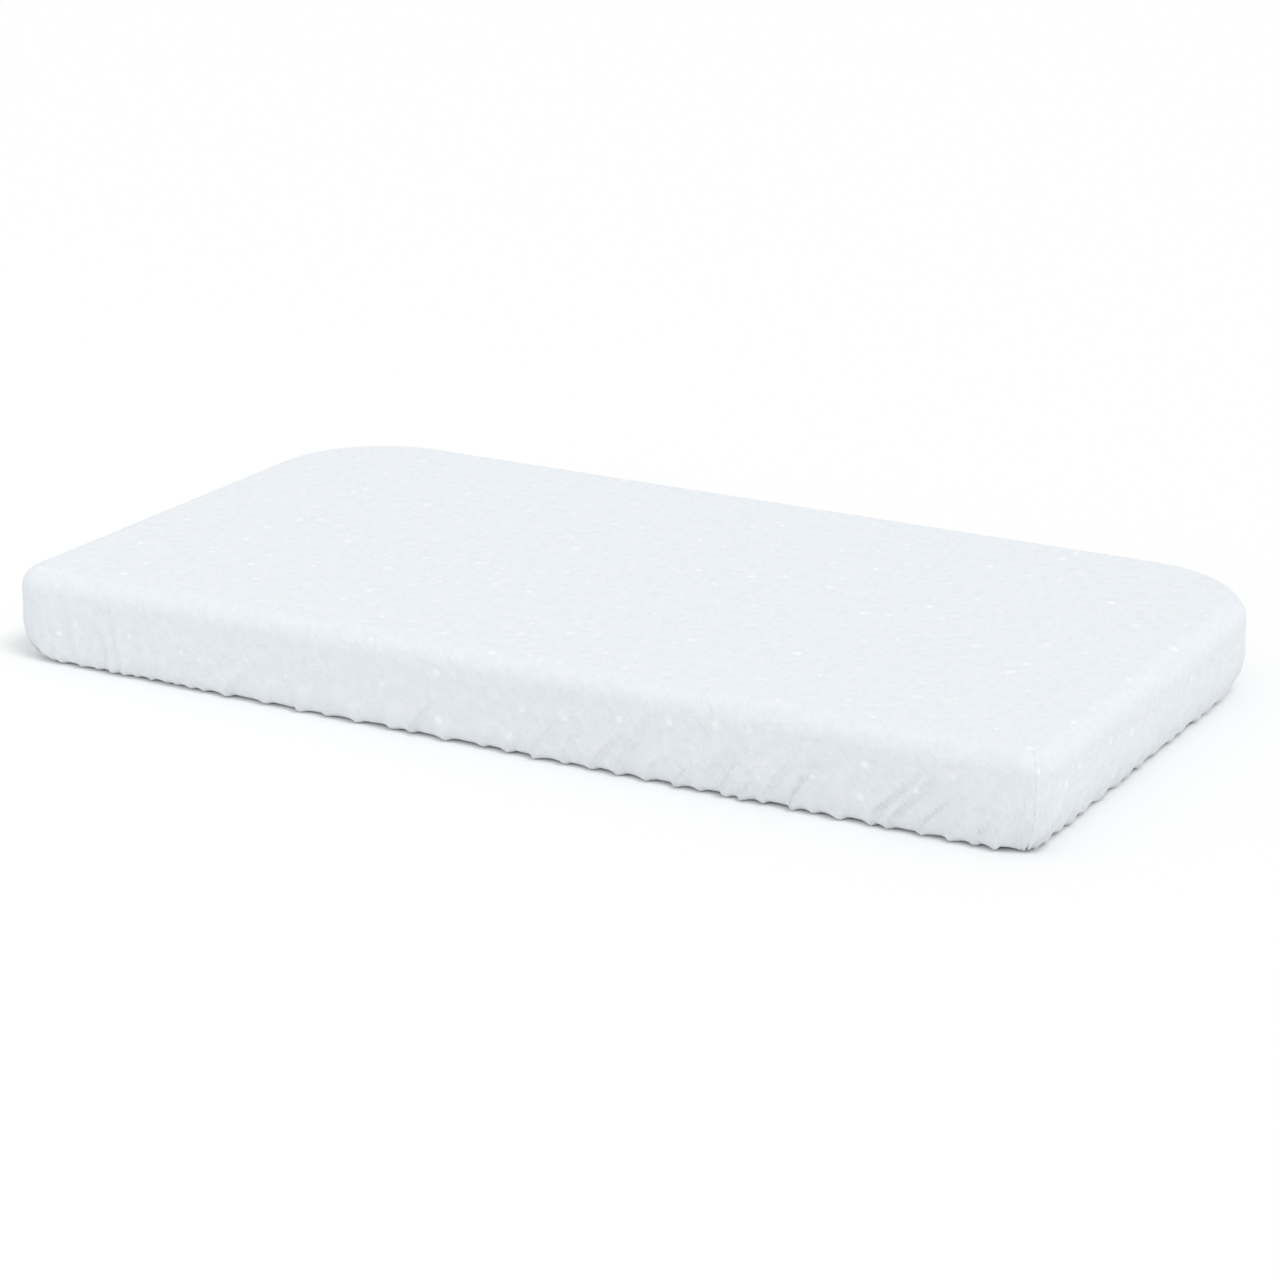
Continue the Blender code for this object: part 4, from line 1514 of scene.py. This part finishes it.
@dataclass
class Zip:
    """The coil zip: woven tapes, coils of nylon loops on their cords, and plated metal parts."""

    tooth_pitch: float = 1.5 * MM
    filament: float = 0.56 * MM
    cord: float = 0.7 * MM
    tape_spacing: float = 2.4 * MM
    tape_lift: float = 0.08 * MM
    sewing_margin: float = 3 * MM
    sewing_corner: float = 1 * MM
    stitch: Stitch = Stitch(3.2 * MM, 2.4 * MM, 0.35 * MM)

    def coil(self, side: str) -> Piece:
        """The loops of one side, upright across the zip and spaced along it."""
        low, high = packed(f"zip_coil_{side}")
        middle = (low + high) / 2
        count = int((high.x - low.x) / self.tooth_pitch)
        start = middle.x - (count - 1) * self.tooth_pitch / 2
        places = [
            Matrix.Translation((start + k * self.tooth_pitch, middle.y, middle.z)) for k in range(count)
        ]
        ring, tube = 0.5, 0.125
        span = 2 * (ring + tube)
        loop = primitive(
            bpy.ops.mesh.primitive_torus_add,
            (self.filament / (2 * tube), (high.y - low.y) / span, (high.z - low.z) / span),
            major_segments=10,
            minor_segments=4,
            major_radius=ring,
            minor_radius=tube,
        )
        return repeat(f"zip_coil_loops_{side}", loop, places)

    def coil_cord(self, side: str) -> Piece:
        """The cord inside one coil."""
        low, high = packed(f"zip_coil_{side}")
        cord = primitive(
            bpy.ops.mesh.primitive_cylinder_add,
            (1.0, 1.0, 1.0),
            tuple((low + high) / 2),
            vertices=8,
            radius=self.cord / 2,
            depth=high.x - low.x,
        )
        cord.name = f"zip_coil_cord_{side}"
        cord.data.shade_smooth()
        return cord

    def sewing(self) -> Piece:
        """The row of stitches that sews the tapes to the cover, all round the slot."""
        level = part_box("cover_bottom_panel")[0][2] - 0.25 * self.stitch.thread
        half_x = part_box("zip_top_stop")[1][0] + self.sewing_margin
        half_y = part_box("zip_slider")[1][1] + self.sewing_margin
        row = Plan(half_x, -half_y, half_y, self.sewing_corner, self.sewing_corner)
        return self.stitch.sew_round("zip_sewing", row, level)

    def build(self) -> None:
        """Makes the tapes and coils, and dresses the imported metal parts."""
        settle_in(self.sewing(), Looks.SEAM_THREAD)
        for side in ("front", "back"):
            low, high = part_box(f"zip_tape_{side}")
            name = f"zip_tape_woven_{side}"
            tape = patch(name, tuple(low), tuple(high), self.tape_spacing, self.tape_lift)
            settle_in(tape, Looks.ZIP_TAPE, f"zip_tape_{side}")
            coil = self.coil(side)
            settle_in(coil, Looks.ZIP_COIL, f"zip_coil_{side}")
            cord = self.coil_cord(side)
            settle_in(cord, Looks.SEAM_THREAD)
        for node in ("zip_slider", "zip_pull_tab", "zip_top_stop", "zip_bottom_stop"):
            Looks.ZIP_METAL.dress(frame["nodes"][node])
            log.info("%s: dressed as packed", node)


# ----- Studio -----


@dataclass
class Studio:
    """White floor, soft light and the camera."""

    azimuth: float = 29.363
    elevation: float = 18.201
    distance: float = 2.6295
    lens: float = 102.4
    aim_level: float = 0.035
    shift_x: float = -0.00418
    shift_y: float = -0.01910
    floor_size: float = 60.0
    floor_colour: str = "#F4F4F4"
    world_strength: float = 0.855
    key_strength: float = 0.88
    key_way: tuple[float, float, float] = (0.44, -0.16, 0.88)
    key_softness: float = 24.0  # degrees across
    fill_place: tuple[float, float, float] = (-0.75, -1.15, 0.30)
    fill_aim: tuple[float, float, float] = (-0.30, -0.21, 0.03)
    fill_size: float = 0.8
    fill_power: float = 0.7

    def build(self) -> None:
        """Makes the floor, world, lights and camera."""
        bpy.ops.mesh.primitive_plane_add(size=self.floor_size, location=(0, 0, 0))
        floor = bpy.context.active_object
        floor.name = "studio_floor"
        material = bpy.data.materials.new("white paper sweep")
        material.use_nodes = True
        shader = material.node_tree.nodes["Principled BSDF"]
        shader.inputs["Base Color"].default_value = linear(self.floor_colour)
        shader.inputs["Roughness"].default_value = 1.0
        shader.inputs["Specular IOR Level"].default_value = 0.0
        floor.data.materials.append(material)
        self.light_world()
        self.light_key()
        self.light_fill()
        self.place_camera()

    def light_world(self) -> None:
        """An even white surround."""
        world = bpy.data.worlds.new("studio")
        world.use_nodes = True
        back = world.node_tree.nodes["Background"]
        back.inputs[0].default_value = (1.0, 1.0, 1.0, 1.0)
        back.inputs[1].default_value = self.world_strength
        bpy.context.scene.world = world
        bpy.context.scene.view_settings.view_transform = "Standard"
        bpy.context.scene.view_settings.look = "None"

    def light_key(self) -> None:
        """A soft light from high on the right that just grazes the front side."""
        data = bpy.data.lights.new("window", "SUN")
        data.energy = self.key_strength
        data.angle = math.radians(self.key_softness)
        lamp = new_object("window", data)
        lamp.rotation_euler = Vector(self.key_way).to_track_quat("Z", "Y").to_euler()

    def light_fill(self) -> None:
        """A weak wide panel that lifts the front side's left half."""
        data = bpy.data.lights.new("panel", "AREA")
        data.energy = self.fill_power
        data.size = self.fill_size
        lamp = new_object("panel", data)
        lamp.location = self.fill_place
        way = Vector(self.fill_place) - Vector(self.fill_aim)
        lamp.rotation_euler = way.to_track_quat("Z", "Y").to_euler()
        lamp.visible_camera = False

    def place_camera(self) -> None:
        """The camera, aimed at the middle of the mattress."""
        data = bpy.data.cameras.new("camera")
        data.lens = self.lens
        data.shift_x, data.shift_y = self.shift_x, self.shift_y
        camera = new_object("camera", data)
        turn, rise = math.radians(self.azimuth), math.radians(self.elevation)
        aim = Vector((0, 0, self.aim_level))
        flat = math.cos(rise)
        way = Vector((math.sin(turn) * flat, -math.cos(turn) * flat, math.sin(rise)))
        camera.location = aim + way * self.distance
        camera.rotation_euler = (-way).to_track_quat("-Z", "Y").to_euler()
        bpy.context.scene.camera = camera


def main() -> None:
    """Builds every sub-assembly."""
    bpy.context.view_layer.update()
    deselect_all()
    Studio().build()
    body = Body()
    cloth = FittedSheet(body)
    sheet, skirt = cloth.build()
    settle_in(sheet, Looks.MUSLIN, "fitted_sheet")
    hem = Hem(body)
    with_sheet = hem.build(cloth, skirt)
    elastic = hem.elastic()
    settle_in(elastic, Looks.ELASTIC, "sheet_hem_elastic")
    with_sheet.append(elastic)
    Cover(body).build()
    Core(body).build()
    Labels().build()
    Zip().build()


if __name__ == "__main__":
    main()
